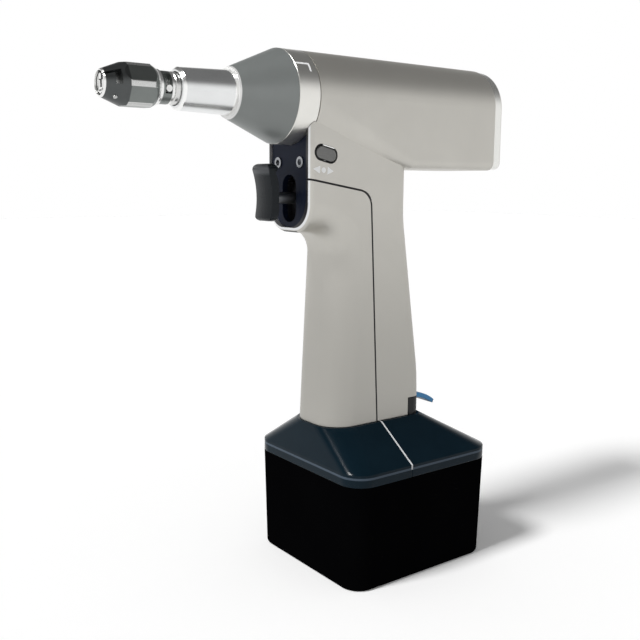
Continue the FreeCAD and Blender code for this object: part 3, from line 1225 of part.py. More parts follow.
def boards():
    board_low = "foot_bottom + 12"
    board_high = "trigger_height + 8"
    board_rear = "heel_rear - handle_wall - 3"
    board = box(
        "board", (f"{SENSOR_FRONT} + 4", board_rear), ("-board_thickness / 2", "board_thickness / 2"),
        (board_low, board_high))
    chips = [box(f"chip_{index}", (x, f"{x} + 6"), ("board_thickness / 2", "board_thickness / 2 + 1.2"),
        (z, f"{z} + 6"))
             for index,
             (x, z) in enumerate([("-14", "foot_bottom + 30"), ("-14", "foot_bottom + 44"),
                 ("-14", "foot_bottom + 72")])]
    keep(fuse("board_fused", board, *chips), "control_board")
    keep(box(
        "sensor", (SENSOR_FRONT, f"{SENSOR_FRONT} + 4"), ("-4.5", "4.5"),
        ("trigger_height - 5", "trigger_height + 5")),
        "trigger_sensor")
    collar_rear = "notch_front - handle_wall - 0.1"
    inner = "handle_half - handle_wall - 0.05"
    flange = box("plug_flange", ("foot_front + handle_wall + 0.1", collar_rear), (f"-({inner})", inner),
        ("foot_bottom", "foot_bottom + 3.4"))
    trimmed = common("plug_flange_trimmed", flange, handle_form("plug_trim", "handle_wall + 0.05"))
    post = box("board_post", (f"{SENSOR_FRONT} + 2", board_rear), ("-4", "4"),
        ("foot_bottom + 3.4", "foot_bottom + 16"))
    slot = box("board_slot", (f"{SENSOR_FRONT} + 1", "heel_rear"),
        ("-board_thickness / 2 - 0.02", "board_thickness / 2 + 0.02"),
               (board_low, "foot_bottom + 17"))
    plug = box("plug", (PLUG_FRONT, f"{PLUG_FRONT} + plug_length"), ("-plug_half", "plug_half"),
        ("plug_bottom", "foot_bottom"))
    blade_ways = [box(f"blade_way_{index}", x, y, ("plug_bottom - 9", "foot_bottom + 5")) for index,
        (x, y) in enumerate(contact_blades("0"))]
    keep(cut("plug_cut", fuse("plug_fused", trimmed, post, plug), slot, *blade_ways), "contact_block")
    blades = [box(f"contact_{index}", x, y, ("plug_bottom - 8", "foot_bottom + 5")) for index,
        (x, y) in enumerate(contact_blades("0"))]
    keep(group("contacts", *blades), "contact_pins")


def contact_blades(grow):
    """The four contact blades' places along X and across Y, widened by a gap."""
    front = f"{PLUG_FRONT} + 5"
    rows = []
    for index in range(4):
        middle = f"{index - 1.5} * 4"
        half = f"(blade_contact / 2 + {grow})"
        rows.append(((f"{front} - {grow}", f"{front} + 8 + {grow}"),
            (f"{middle} - {half}", f"{middle} + {half}")))
    return rows


# Battery, latch and release tab
def upright_outline(low_x, high_x, half, front_round, rear_round):
    """A rectangle seen from above with its own corner radius at the front and at the rear."""
    return [
        (f"({low_x}) + ({front_round})", f"-({half})"),
        (f"({high_x}) - ({rear_round})", f"-({half})", rear_round),
        (high_x, f"-({half}) + ({rear_round})"), (high_x, f"({half}) - ({rear_round})", rear_round),
        (f"({high_x}) - ({rear_round})", half), (f"({low_x}) + ({front_round})", half, front_round),
        (low_x, f"({half}) - ({front_round})"), (low_x, f"-({half}) + ({front_round})", front_round),
    ]


def lid_form(name, inset, bottom):
    """The lid's hipped roof, from the battery's outline up to the handle's foot."""
    half_x, half_y = f"battery_length / 2 - ({inset})", f"battery_width / 2 - ({inset})"
    margin = f"lid_margin - ({inset})"
    rows = [
        ("skirt_top",
            upright_outline(f"-({half_x})", half_x, half_y, f"battery_corner - ({inset})",
                f"battery_corner - ({inset})")),
        (f"lid_top - ({inset})", upright_outline(
            f"foot_front - ({margin})", f"foot_rear + {margin}", f"handle_half + {margin}",
            f"grip_round + ({margin})", f"grip_back_round + ({margin})")),
    ]
    sketches = []
    for index, (z, points) in enumerate(rows):
        sketch = doc.addObject("Sketcher::SketchObject", f"{name}_row_{index}")
        outline(sketch, points)
        place(sketch, z=z)
        sketches.append(sketch)
    roof = doc.addObject("Part::Loft", name + "_roof")
    roof.Sections = sketches
    roof.Solid = True
    roof.Ruled = True
    skirt = slab(name + "_skirt", "XY", rows[0][1], bottom, "skirt_top")
    return fuse(name, roof, skirt)


def battery():
    half_x, half_y = "battery_length / 2", "battery_width / 2"
    foot_corner = "battery_corner - case_draft"
    case = slab("case_slab", "XY", upright_outline(
        f"-({half_x} - case_draft)", f"{half_x} - case_draft", f"{half_y} - case_draft", foot_corner,
        foot_corner), "0", "case_top")
    draft = "atan(case_draft / case_top)"
    bind(case.Tip, TaperAngle=draft)
    round_edges(case, "1.6", lambda edge: abs(edge.CenterOfMass.z) < 0.01)
    inside = "battery_corner - case_wall"
    well = slab("case_well", "XY", upright_outline(
        f"-({half_x} - case_wall)", f"{half_x} - case_wall", f"{half_y} - case_wall", inside, inside),
        "battery_wall", "case_top + 1")
    bind(well.Tip, TaperAngle=draft)
    keep(cut("case_cut", case, well), "battery_case")
    lid_bottom = "case_top + lid_seam"
    lid = lid_form("lid", "0", lid_bottom)
    space = lid_form("lid_space", "lid_wall", f"{lid_bottom} - 1")
    lip_outer = slab("lip_outer", "XY", upright_outline(
        f"-({half_x} - battery_wall - 0.2)", f"{half_x} - battery_wall - 0.2",
        f"{half_y} - battery_wall - 0.2", "battery_corner - battery_wall - 0.2",
        "battery_corner - battery_wall - 0.2"), "case_top - 2", f"{lid_bottom} + 1")
    lip_inner = slab("lip_inner", "XY", upright_outline(
        f"-({half_x} - lid_wall)", f"{half_x} - lid_wall", f"{half_y} - lid_wall",
        "battery_corner - lid_wall", "battery_corner - lid_wall"), "case_top - 3", f"{lid_bottom} + 2")
    socket = box("socket_mouth", (f"{PLUG_FRONT} - plug_gap", f"{PLUG_FRONT} + plug_length + plug_gap"),
                 ("-plug_half - plug_gap", "plug_half + plug_gap"), ("skirt_top", "lid_top + 1"))
    whole = cut("lid_whole",
        fuse("lid_lipped", cut("lid_hollow", lid, space), cut("lip_ring", lip_outer, lip_inner)), socket)
    front_half = box("lid_front_half", (f"-{half_x} - 1", "lid_split - 0.1"),
        (f"-{half_y} - 1", f"{half_y} + 1"), ("case_top - 4", "lid_top + 1"))
    rear_half = box("lid_rear_half", ("lid_split + 0.1", f"{half_x} + 1"),
        (f"-{half_y} - 1", f"{half_y} + 1"), ("case_top - 4", "lid_top + 1"))
    keep(common("lid_front_cut", whole, front_half), "battery_lid_front")
    keep(common("lid_rear_cut", whole, rear_half), "battery_lid_rear")
    cells = []
    for row in (-1, 0, 1):
        for column in (-1, 0, 1):
            if (row, column) == (0, 0):
                continue
            cells.append(rod(
                f"cell_{row}_{column}", "Z", ("battery_wall", "battery_wall + cell_length"), "cell_radius",
                (f"{column} * cell_pitch", f"{row} * cell_pitch")))
    keep(group("cells", *cells), "battery_cells")
    tray_low = "battery_wall + cell_length"
    tray_top = f"{tray_low} + tray_thickness"
    reach = "cell_pitch + cell_radius"
    tray = slab("tray", "XY", upright_outline(f"-({reach})", reach, reach, "6", "6"), tray_low, tray_top)
    riser = box("riser", (f"{PLUG_FRONT} - 3", f"{PLUG_FRONT} + plug_length + 3"),
        ("-plug_half - 2", "plug_half + 2"), (tray_top, "plug_bottom - 0.6"))
    ways = [box(f"terminal_way_{index}", x, y, (f"{tray_top} + 1", "plug_bottom"))
            for index, (x, y) in enumerate(contact_blades("0.7"))]
    keep(cut("block_cut", fuse("block_fused", tray, riser), *ways), "terminal_block")
    clips = []
    for index, (x, y) in enumerate(contact_blades("0.7")):
        clips.append(box(f"clip_{index}", x, (f"{y[0]}", f"{y[0]} + 0.5"),
            (f"{tray_top} + 1", "plug_bottom - 1")))
    keep(group("clips", *clips), "battery_terminals")


def latch():
    block_front = "notch_front + notch_gap"
    block_half = "handle_half - 0.2"
    block_rear = "foot_rear - 0.1"
    block = slab("latch_slab", "XY", upright_outline(
        block_front, block_rear, block_half, "0.8", "grip_back_round"), "lid_top", "notch_top - notch_gap")
    mouth = box("tab_mouth", (f"{block_front} + 1.2", "foot_rear + 2"),
        ("-tab_half - clear_gap", "tab_half + clear_gap"),
                ("lid_top + latch_floor", "notch_top - notch_gap - 0.8"))
    pin_bore = rod("latch_pin_bore", "Y", ("-handle_half + 3", "handle_half - 3"), "tab_pin_radius",
        ("tab_pivot_x", "tab_pivot_z"))
    keep(cut("latch_cut", block, mouth, pin_bore), "latch_block")
    keep(rod("tab_pin", "Y", ("-handle_half + 3", "handle_half - 3"), "tab_pin_radius",
        ("tab_pivot_x", "tab_pivot_z")), "latch_pin")
    tab = slab("tab_slab", "XZ", [
        ("tab_pivot_x - 1.9", "tab_pivot_z - 1.4"), ("tab_pivot_x + 3.4", "tab_pivot_z + 0.2"),
        ("foot_rear + 1", "tab_pivot_z + 0.7", "27", "right"), ("tab_tip - 1.2", "tab_pivot_z - 4.2"),
        ("tab_tip", "tab_pivot_z - 2.6", "27"), ("foot_rear + 1", "tab_pivot_z + 3.2"),
        ("tab_pivot_x - 1.9", "tab_pivot_z + 3.2"),
    ], "-tab_half", "tab_half")
    hub = rod("hub_rod", "Y", ("-tab_half", "tab_half"), "tab_hub", ("tab_pivot_x", "tab_pivot_z"))
    bore = rod("tab_bore", "Y", ("-tab_half - 1", "tab_half + 1"), "tab_pin_radius + run_clearance",
        ("tab_pivot_x", "tab_pivot_z"))
    keep(cut("tab_cut", fuse("tab_fused", tab, hub), bore), "release_tab")
    keep(coil(
        "tab_coil", "lid_top + latch_floor + 0.02", "tab_pivot_z - 0.3", "0.7", "0.2", 5,
        ("tab_pivot_x + 3", "0"),
        "Z"), "latch_spring")


for build_piece in (
        housing, rear_cap, nose, collar, drive_line, cam_drive, bearing_plates, motor, trigger,
        direction_button,
        boards, battery, latch):
    build_piece()
doc.recompute()

for item in doc.Objects:
    if "Invalid" in item.State or "Error" in item.State:
        raise RuntimeError(f"{item.Name} did not compute: {item.State}")
for item in parts:
    if item.Shape.isNull() or not item.Shape.isValid() or not item.Shape.Solids:
        raise RuntimeError(f"{item.Label} has no valid solid")

os.makedirs("parts", exist_ok=True)
for item in parts:
    item.Shape.exportStep(f"parts/{item.Label}.step")
print(len(parts), "pieces written")
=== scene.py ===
# A battery-driven surgical saw handpiece, dressed piece by piece in the order in which it is put together.
import bmesh
import bpy
import math
from mathutils import Matrix, Vector


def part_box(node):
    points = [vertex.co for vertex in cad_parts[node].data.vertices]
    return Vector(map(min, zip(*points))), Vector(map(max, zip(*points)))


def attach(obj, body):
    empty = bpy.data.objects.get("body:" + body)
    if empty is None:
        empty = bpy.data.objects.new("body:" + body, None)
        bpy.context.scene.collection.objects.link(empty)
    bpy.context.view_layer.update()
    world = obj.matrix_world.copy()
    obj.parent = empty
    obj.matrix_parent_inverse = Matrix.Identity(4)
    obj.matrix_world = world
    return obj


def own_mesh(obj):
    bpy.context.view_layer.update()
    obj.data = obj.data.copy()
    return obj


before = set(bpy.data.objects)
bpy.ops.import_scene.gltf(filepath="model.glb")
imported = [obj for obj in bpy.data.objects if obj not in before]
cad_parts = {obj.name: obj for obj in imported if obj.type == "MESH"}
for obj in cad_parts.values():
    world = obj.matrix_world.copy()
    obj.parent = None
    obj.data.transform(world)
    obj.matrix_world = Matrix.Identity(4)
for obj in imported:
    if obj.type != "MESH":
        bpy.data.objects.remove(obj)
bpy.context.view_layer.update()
scene = bpy.context.scene

# Barrel housing and grip cover
# Two bead-blasted castings: the housing carries the motor and the back of the handle, and the cover closes
# the front of the handle along a curved seam with a black bead. The face of the trigger's tower is blackened
# inside a rubbed rim painted bright as a highlight; painted shade darkens the handle towards the bottom and
# fills the recess behind the trigger in black.


class Wire:
    """A shader socket that can stand in a sum, so that 1 - mask adds a Math node."""

    def __init__(self, nodes, socket):
        self.nodes = nodes
        self.socket = socket

    def maths(self, operation, first, second):
        return self.nodes.node("ShaderNodeMath", {"operation": operation}, {0: first, 1: second})

    def __add__(self, other):
        return self.maths("ADD", self, other)

    def __sub__(self, other):
        return self.maths("SUBTRACT", self, other)

    def __rsub__(self, other):
        return self.maths("SUBTRACT", other, self)

    def __mul__(self, other):
        return self.maths("MULTIPLY", self, other)

    __radd__ = __add__
    __rmul__ = __mul__


class Nodes:
    """A node tree, with one method that adds any node."""

    def __init__(self, tree):
        self.tree = tree

    def node(self, kind, settings=None, inputs=None, output=0):
        added = self.tree.nodes.new(kind)
        for name, value in (settings or {}).items():
            setattr(added, name, value)
        for name, value in (inputs or {}).items():
            self.feed(added.inputs[name], value)
        return Wire(self, added.outputs[output])

    def feed(self, socket, value):
        if isinstance(value, Wire):
            self.tree.links.new(value.socket, socket)
        elif hasattr(socket.default_value, "__len__") and len(socket.default_value) == 4:
            socket.default_value = (*value, 1)
        else:
            socket.default_value = value

    def ramp(self, value, low, high, start=0.0, stop=1.0):
        """From start below low to stop above high, with a smooth step between."""
        return self.node(
            "ShaderNodeMapRange", {"interpolation_type": "SMOOTHSTEP"},
            {0: value, 1: low, 2: high, 3: start, 4: stop})


class Finish(Nodes):
    """A surface finish: one material built up from nodes round a Principled shader."""

    def __init__(self, name):
        self.material = bpy.data.materials.new(name)
        self.material.use_nodes = True
        super().__init__(self.material.node_tree)
        self.shader = self.tree.nodes["Principled BSDF"]

    def blend(self, mask, first, second):
        """The first colour where the mask is 0 and the second where it is 1."""
        return self.node("ShaderNodeMix", {"data_type": "RGBA"}, {0: mask, 6: first, 7: second}, 2)

    def spot(self, stretch=(1, 1, 1)):
        """The place on the piece in metres, stretched."""
        place = self.node("ShaderNodeTexCoord", output=3)
        return self.node("ShaderNodeMapping", inputs={0: place, 3: stretch})

    def along(self, axis):
        """The place along X, Y or Z in metres."""
        place = self.node("ShaderNodeTexCoord", output=3)
        return self.node("ShaderNodeSeparateXYZ", inputs={0: place}, output="XYZ".index(axis))

    def between(self, axis, low, high, edge=0.0002):
        """1 between two places along an axis and 0 outside them."""
        place = self.along(axis)
        return self.ramp(place, low - edge, low) * self.ramp(place, high, high + edge, 1.0, 0.0)

    def grain(self, spot, scale, detail=2.0, roughness=0.5):
        return self.node("ShaderNodeTexNoise", inputs={
            "Vector": spot, "Scale": scale, "Detail": detail, "Roughness": roughness})

    def bump(self, height, depth, strength=1.0):
        return self.node("ShaderNodeBump", inputs={"Height": height, "Distance": depth, "Strength": strength})

    def set(self, **sockets):
        for name, value in sockets.items():
            self.feed(self.shader.inputs[name.replace("_", " ")], value)
        return self.material


def shade(colour, factor):
    return tuple(min(part * factor, 1.0) for part in colour)


def dress(material, *nodes):
    """Gives CAD nodes their finish."""
    for name in nodes:
        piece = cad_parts[name]
        piece.data.materials.clear()
        piece.data.materials.append(material)


def soften(width, *nodes):
    """Rounds a node's sharp edges a little, as a moulded or machined edge is."""
    for name in nodes:
        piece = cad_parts[name]
        weld = piece.modifiers.new("joined", "WELD")
        weld.merge_threshold = 0.000002
        edge = piece.modifiers.new("worn_edge", "BEVEL")
        edge.width = width
        edge.segments = 2
        edge.limit_method = "ANGLE"
        edge.angle_limit = math.radians(38)


tower_face_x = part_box("grip_cover")[0].x
axis_z = 0.218
housing_colour = (0.56, 0.545, 0.505)
seam_corner_x, seam_corner_z = -0.0177, 0.1775
seam_foot_x, seam_foot_z = -0.0119, 0.0706
seam_front_x, seam_front_z = tower_face_x - 0.010, 0.1847
seam_round = 0.006
bead_half, bead_edge = 0.00040, 0.0001


def seam_line(finish):
    """1 along the black sealing bead in the seam between the cover and the housing."""
    x, z = finish.along("X"), finish.along("Z")
    lean = (seam_foot_x - seam_corner_x) / (seam_corner_z - seam_foot_z)
    behind = x - seam_corner_x - (seam_corner_z - z) * lean
    fall = (seam_front_z - seam_corner_z) / (seam_corner_x - seam_front_x)
    above = z - seam_corner_z - (seam_corner_x - x) * fall
    past_x = behind.maths("MAXIMUM", behind + seam_round, 0.0)
    past_z = behind.maths("MAXIMUM", above + seam_round, 0.0)
    reach = behind.maths("SQRT", past_x * past_x + past_z * past_z, 0.0)
    away = behind.maths("ABSOLUTE", reach - seam_round, 0.0)
    return finish.ramp(away, bead_half, bead_half + bead_edge, 1.0, 0.0)


recess_front, recess_back, recess_half = 0.0008, 0.0062, 0.0054
recess_bottom_z, recess_top_z = 0.160, 0.187
# Heights between which the painted shade on the handle fades out upwards.
handle_shade_low_z, handle_shade_high_z = 0.085, 0.195


def cast_housing():
    """Bead-blasted metal with painted shade that darkens it towards the bottom of the handle, a rubbed rim
    painted bright as a highlight round the tower's blackened face, and painted shade filling the recess
    behind the trigger in black."""
    finish = Finish("blasted_housing")
    spot = finish.spot()
    bead = finish.grain(spot, 5200, 2)
    cloud = finish.grain(spot, 40, 3)
    rubbed = finish.ramp(finish.grain(spot, 16, 4, 0.6), 0.54, 0.74)
    # The rubbed rim round the tower's face is smoother, and its pale colour is a painted highlight.
    rim_polish_and_highlight = finish.ramp(finish.along("X"), tower_face_x + 0.0003, tower_face_x + 0.0006, 1.0, 0.0)
    face = finish.ramp(finish.along("X"), tower_face_x + 0.00002, tower_face_x + 0.00005, 1.0, 0.0)
    # Painted shade: the base colour darkens towards the bottom of the handle, where the light falls off.
    painted_handle_shade = finish.ramp(finish.along("Z"), handle_shade_low_z, handle_shade_high_z, 1.0, 0.0)
    # Painted shade: the recess behind the trigger is filled in black.
    recess_shade = (finish.between("X", tower_face_x + recess_front, tower_face_x + recess_back)
              * finish.between("Y", -recess_half, recess_half)
              * finish.between("Z", recess_bottom_z, recess_top_z))
    metal = finish.blend(cloud, shade(housing_colour, 0.93), shade(housing_colour, 1.06))
    metal = finish.blend(painted_handle_shade, metal, shade(housing_colour, 0.72))
    # Painted highlight: the rim is coloured pale grey.
    painted_highlight = finish.blend(rim_polish_and_highlight, metal, (0.76, 0.77, 0.78))
    # Black for the tower's face and the seam's bead, and painted shade in the recess.
    black_and_shade = recess_shade
    for other in (face, seam_line(finish)):
        black_and_shade = black_and_shade.maths("MAXIMUM", black_and_shade, other)
    return finish.set(
        Base_Color=finish.blend(black_and_shade, painted_highlight, (0.004, 0.004, 0.006)), Metallic=0.85 - black_and_shade * 0.85,
        Roughness=0.40 + bead * 0.08 - rubbed * 0.06 - rim_polish_and_highlight * 0.10, Normal=finish.bump(bead, 0.00001))


dress(cast_housing(), "main_housing", "grip_cover")

# Rear cap, its gasket and its screws
# A machined plate of the same metal closes the housing; its rim is polished and painted brighter as a
# highlight, and four screws pull it on to a rubber gasket.
cap_rear_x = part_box("rear_cap")[1].x


def machined_cap():
    finish = Finish("machined_cap")
    spot = finish.spot()
    bead = finish.grain(spot, 5200, 2)
    cloud = finish.grain(spot, 50, 3)
    # The polished rim band is smoother, and its paler colour is a painted highlight.
    rim_polish_and_highlight = finish.between("X", cap_rear_x - 0.0052, cap_rear_x - 0.0010, 0.0004)
    metal = finish.blend(cloud, shade(housing_colour, 0.92), shade(housing_colour, 1.05))
    return finish.set(
        Base_Color=finish.blend(rim_polish_and_highlight, metal, (0.80, 0.80, 0.77)), Metallic=0.9,
        Roughness=0.36 + bead * 0.10 - rim_polish_and_highlight * 0.16, Normal=finish.bump(bead, 0.000008))


def rubber(name, colour=(0.012, 0.012, 0.013)):
    finish = Finish(name)
    grit = finish.grain(finish.spot(), 3000, 3)
    return finish.set(
        Base_Color=finish.blend(grit, shade(colour, 0.8), shade(colour, 1.3)), Roughness=0.62 + grit * 0.2,
        Specular_IOR_Level=0.3, Normal=finish.bump(grit, 0.00002))


def steel(name, colour=(0.62, 0.62, 0.61), rough=0.24, streak=2600):
    """Ground steel with short streaks, for screws, pins, shafts and springs."""
    finish = Finish(name)
    streaks = finish.grain(finish.spot((1, 0.15, 0.15)), streak, 3, 0.6)
    patina = finish.grain(finish.spot(), 120, 3)
    return finish.set(
        Base_Color=finish.blend(patina, shade(colour, 0.88), shade(colour, 1.08)), Metallic=1.0,
        Roughness=rough + streaks * 0.12, Normal=finish.bump(streaks, 0.000003))


dress(machined_cap(), "rear_cap")
dress(rubber("gasket_rubber"), "rear_cap_gasket", "shaft_seal")
dress(steel("screw_steel", rough=0.2), "rear_cap_screws", "motor_screws")

# Nose cone
# Turned from steel and blackened to gunmetal, with the fine rings that a lathe leaves and a bare, smoother
# edge round its mouth that is painted bright as a highlight.
cone_mouth_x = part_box("nose_cone")[0].x


def lathed(name, colour, rough, pitch, painted_highlight=(), highlight_colour=(0.92, 0.92, 0.91), metallic=0.95):
    """Turned metal: fine rings round the axis, with smoother bands between pairs of places along X painted
    bright as highlights.
    """
    finish = Finish(name)
    rings = finish.grain(finish.spot((1, 0.03, 0.03)), pitch, 3, 0.6)
    cloud = finish.grain(finish.spot(), 70, 3)
    colour_now = finish.blend(cloud, shade(colour, 0.9), shade(colour, 1.08))
    rough_now = rings * 0.05 + (rough - 0.02)
    for low, high in painted_highlight:
        # Each band is smoother, and its pale colour is a painted highlight.
        highlight_band = finish.between("X", low, high, 0.0001)
        colour_now = finish.blend(highlight_band, colour_now, highlight_colour)
        rough_now = rough_now - highlight_band * 0.12
    return finish.set(
        Base_Color=colour_now, Metallic=metallic, Roughness=rough_now, Normal=finish.bump(rings, 0.000001))


# The cone's mouth gets a painted highlight band.
dress(lathed(
    "gunmetal_cone", (0.22, 0.235, 0.23), 0.36, 2600, [(cone_mouth_x - 0.001, cone_mouth_x + 0.0007)],
    (0.80, 0.80, 0.79), 0.3),
    "nose_cone")

# Index ring and its mark
# A brushed steel ring that sets the cone in one of its positions; a thin white corner-shaped mark lies on it.
ring_radius = 0.020
mark_sink, mark_height = 0.0001, 0.00012


def wrapped(name, low_x, high_x, low_turn, high_turn, radius, height, steps=8):
    """A thin patch on a round surface, between two places along X and two angles, 0 facing -Y."""
    shape = bmesh.new()
    rows = []
    for step in range(steps + 1):
        turn = math.radians(low_turn + (high_turn - low_turn) * step / steps)
        rows.append([
            shape.verts.new((x, -reach * math.cos(turn), axis_z + reach * math.sin(turn)))
            for x, reach in ((low_x, radius), (high_x, radius), (high_x, radius + height),
                             (low_x, radius + height))])
    for before, after in zip(rows, rows[1:]):
        for side in range(4):
            other = (side + 1) % 4
            shape.faces.new((before[side], before[other], after[other], after[side]))
    shape.faces.new(reversed(rows[0]))
    shape.faces.new(rows[-1])
    return finished(shape, name)


def finished(shape, name):
    """Turns a bmesh into an object with its faces outward."""
    bmesh.ops.recalc_face_normals(shape, faces=shape.faces)
    mesh = bpy.data.meshes.new(name)
    shape.to_mesh(mesh)
    shape.free()
    piece = bpy.data.objects.new(name, mesh)
    scene.collection.objects.link(piece)
    return piece


def paint(name, colour, rough=0.5):
    """Filled paint: slightly uneven, with a faint orange peel."""
    finish = Finish(name)
    peel = finish.grain(finish.spot(), 1800, 3)
    return finish.set(
        Base_Color=finish.blend(peel, shade(colour, 0.94), colour), Roughness=rough + peel * 0.15,
        Normal=finish.bump(peel, 0.000006))


dress(lathed("brushed_ring", (0.80, 0.79, 0.75), 0.30, 3200), "index_ring")
white_fill = paint("white_fill", (0.95, 0.96, 0.96))
ring_front_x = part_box("index_ring")[0].x
for label, low_x, high_x, low_turn, high_turn in (
        ("index_mark_long", 0.0006, 0.0076, 37.2, 39.8), ("index_mark_short", 0.0067, 0.0076, 27.6, 37.2)):
    mark = wrapped(
        label, ring_front_x + low_x, ring_front_x + high_x, low_turn, high_turn, ring_radius - mark_sink,
        mark_height)
    mark.data.materials.append(white_fill)
    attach(mark, "handpiece")

# Barrel sleeve with its nut and bushes
# A slender turned sleeve, smoother and with painted highlights at its mouth and where it leaves the cone;
# bronze bushes and a seal inside it carry the drive shaft.
barrel_front_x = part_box("barrel_sleeve")[0].x
# Painted highlight bands at the barrel's mouth and where it leaves the cone.
dress(lathed(
    "turned_barrel", (0.80, 0.81, 0.81), 0.25, 3600,
    [(barrel_front_x + 0.0004, barrel_front_x + 0.0014), (cone_mouth_x - 0.0012, cone_mouth_x)]),
    "barrel_sleeve")
dress(lathed("bush_bronze", (0.55, 0.36, 0.17), 0.34, 2400), "front_bush", "rear_bush")
dress(steel("nut_steel", (0.42, 0.42, 0.41), 0.32), "barrel_nut", "guide_sleeve")

# Drive shaft, blade holder, lock collar and their pins
# The shaft runs out through the barrel and carries the holder, whose slot takes the blade's tang. The
# hexagonal collar turns on it against a spring; its neck and shoulder are bare metal, and its shoulder, rims
# and corners are painted bright as highlights.
collar_nose_x, collar_rear_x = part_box("lock_collar")[0].x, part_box("lock_collar")[1].x
shoulder_x = collar_nose_x + 0.0223
collar_cone_x = collar_nose_x + 0.0095
collar_corner_radius = 0.00864


def blackened_collar():
    """Blackened steel with milled flats and a darker cone in front; its corners, shoulder and front and rear
    rims are smoother and painted bright as highlights.
    """
    finish = Finish("blackened_collar")
    milled = finish.grain(finish.spot((0.15, 1, 1)), 3000, 3, 0.6)
    cloud = finish.grain(finish.spot(), 160, 3)
    metal = finish.blend(cloud, (0.17, 0.185, 0.18), (0.23, 0.245, 0.235))
    shoulder = finish.between("X", shoulder_x - 0.0009, shoulder_x + 0.0012, 0.0002)
    rear = finish.between("X", collar_rear_x - 0.0009, collar_rear_x + 0.001, 0.0002)
    nose = finish.between("X", collar_nose_x - 0.001, collar_nose_x + 0.0006, 0.0001)
    across, up = finish.along("Y"), finish.along("Z") - axis_z
    radius = across.maths("SQRT", across * across + up * up, 0.0)
    # Painted highlight: a bright line along each corner of the hexagon, where its chamfer reflects the light.
    corner = finish.ramp(radius, collar_corner_radius - 0.00004, collar_corner_radius + 0.00004) * 0.6
    cone = finish.ramp(finish.along("X"), collar_cone_x - 0.0003, collar_cone_x + 0.0002, 1.0, 0.0)
    metal = finish.blend(cone * 0.75, metal, (0.05, 0.052, 0.055))
    # Bare, smoother shoulder and rims, with their bright colour a painted highlight.
    bare_and_highlight = shoulder
    for other in (rear, nose, corner):
        bare_and_highlight = bare_and_highlight.maths("MAXIMUM", bare_and_highlight, other)
    return finish.set(
        Base_Color=finish.blend(bare_and_highlight, metal, (0.86, 0.86, 0.85)), Metallic=0.95,
        Roughness=0.26 + milled * 0.14 - bare_and_highlight * 0.08, Normal=finish.bump(milled, 0.000003))


dress(blackened_collar(), "lock_collar")
dress(steel("shaft_steel", (0.70, 0.70, 0.69), 0.20, 3400), "drive_shaft", "follower_pin", "cam_yoke")
dress(steel("holder_steel", (0.74, 0.74, 0.73), 0.22),
      "blade_holder", "collar_index_pin", "collar_detent_pin")
dress(steel("spring_steel", (0.52, 0.52, 0.53), 0.24), "collar_spring", "trigger_spring", "latch_spring")

# Holder's clamp tongue and its set screw
# A spring tongue stands in a U-shaped groove above the slot, and a small slotted screw below it holds the
# holder's insert; the groove and the screw's slot are flat black sheets of painted shade.
holder_face_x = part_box("blade_holder")[0].x


def slab_of(name, corners, direction):
    """A flat piece: an outline of corners given a thickness along a direction."""
    shape = bmesh.new()
    lower = [shape.verts.new(Vector(corner)) for corner in corners]
    upper = [shape.verts.new(Vector(corner) + Vector(direction)) for corner in corners]
    shape.faces.new(lower)
    shape.faces.new(reversed(upper))
    for index in range(len(corners)):
        following = (index + 1) % len(corners)
        shape.faces.new((lower[index], lower[following], upper[following], upper[index]))
    return finished(shape, name)


def facing(y, z, half_width, half_height, corner, steps=5):
    """A rounded rectangle on the holder's face, as corners."""
    points = []
    for quarter, (side, rise) in enumerate(((1, 1), (-1, 1), (-1, -1), (1, -1))):
        for step in range(steps + 1):
            turn = math.pi / 2 * (quarter + step / steps)
            points.append((
                holder_face_x, y + side * (half_width - corner) + corner * math.cos(turn),
                axis_z + z + rise * (half_height - corner) + corner * math.sin(turn)))
    return points


# Painted shade: flat black sheets on the holder's face stand in for the shade in the groove and the screw's
# slot.
painted_groove_shade = paint("painted_groove_shade", (0.006, 0.006, 0.007), 0.6)
groove = slab_of("clamp_groove_shade", facing(0.0001, 0.0023, 0.0019, 0.00125, 0.0006), (-0.00005, 0, 0))
groove.data.materials.append(painted_groove_shade)
tongue_steel = steel("tongue_steel", (0.86, 0.86, 0.85), 0.16)
tongue = slab_of("clamp_tongue", facing(0.0001, 0.0024, 0.0010, 0.0010, 0.0003), (-0.00035, 0, 0))
tongue.data.materials.append(tongue_steel)
screw = slab_of("holder_set_screw", facing(0.0002, -0.0027, 0.0014, 0.0011, 0.0010), (-0.0003, 0, 0))
screw.data.materials.append(tongue_steel)
screw_slot = slab_of("screw_slot_shade", facing(0.0002, -0.0027, 0.0011, 0.00022, 0.0001), (-0.00034, 0, 0))
screw_slot.data.materials.append(painted_groove_shade)
for piece in (groove, tongue, screw, screw_slot):
    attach(piece, "blade_drive")

# Cam drive and motor
# A drum with a slanted track turns the motor's spin into the stroke; the motor is a sealed can with a copper
# winding, a magnet rotor and ball bearings.


def coated(name, colour, rough, metallic=0.0, scale=400, depth=0.00001, specular=0.5):
    """Enamel, plating or film over a plain piece, slightly uneven."""
    finish = Finish(name)
    mottle = finish.grain(finish.spot(), scale, 4)
    return finish.set(
        Base_Color=finish.blend(mottle, shade(colour, 0.88), shade(colour, 1.12)), Metallic=metallic,
        Roughness=rough + mottle * 0.1, Specular_IOR_Level=specular, Normal=finish.bump(mottle, depth))


def laminated():
    """A stack of thin steel sheets, seen as fine lines round the core."""
    finish = Finish("core_laminations")
    sheets = finish.node("ShaderNodeTexWave", {"bands_direction": "X"}, {
        "Vector": finish.spot(), "Scale": 320.0})
    return finish.set(
        Base_Color=finish.blend(sheets, (0.16, 0.15, 0.15), (0.32, 0.31, 0.30)), Metallic=0.8, Roughness=0.45,
        Normal=finish.bump(sheets, 0.00004))


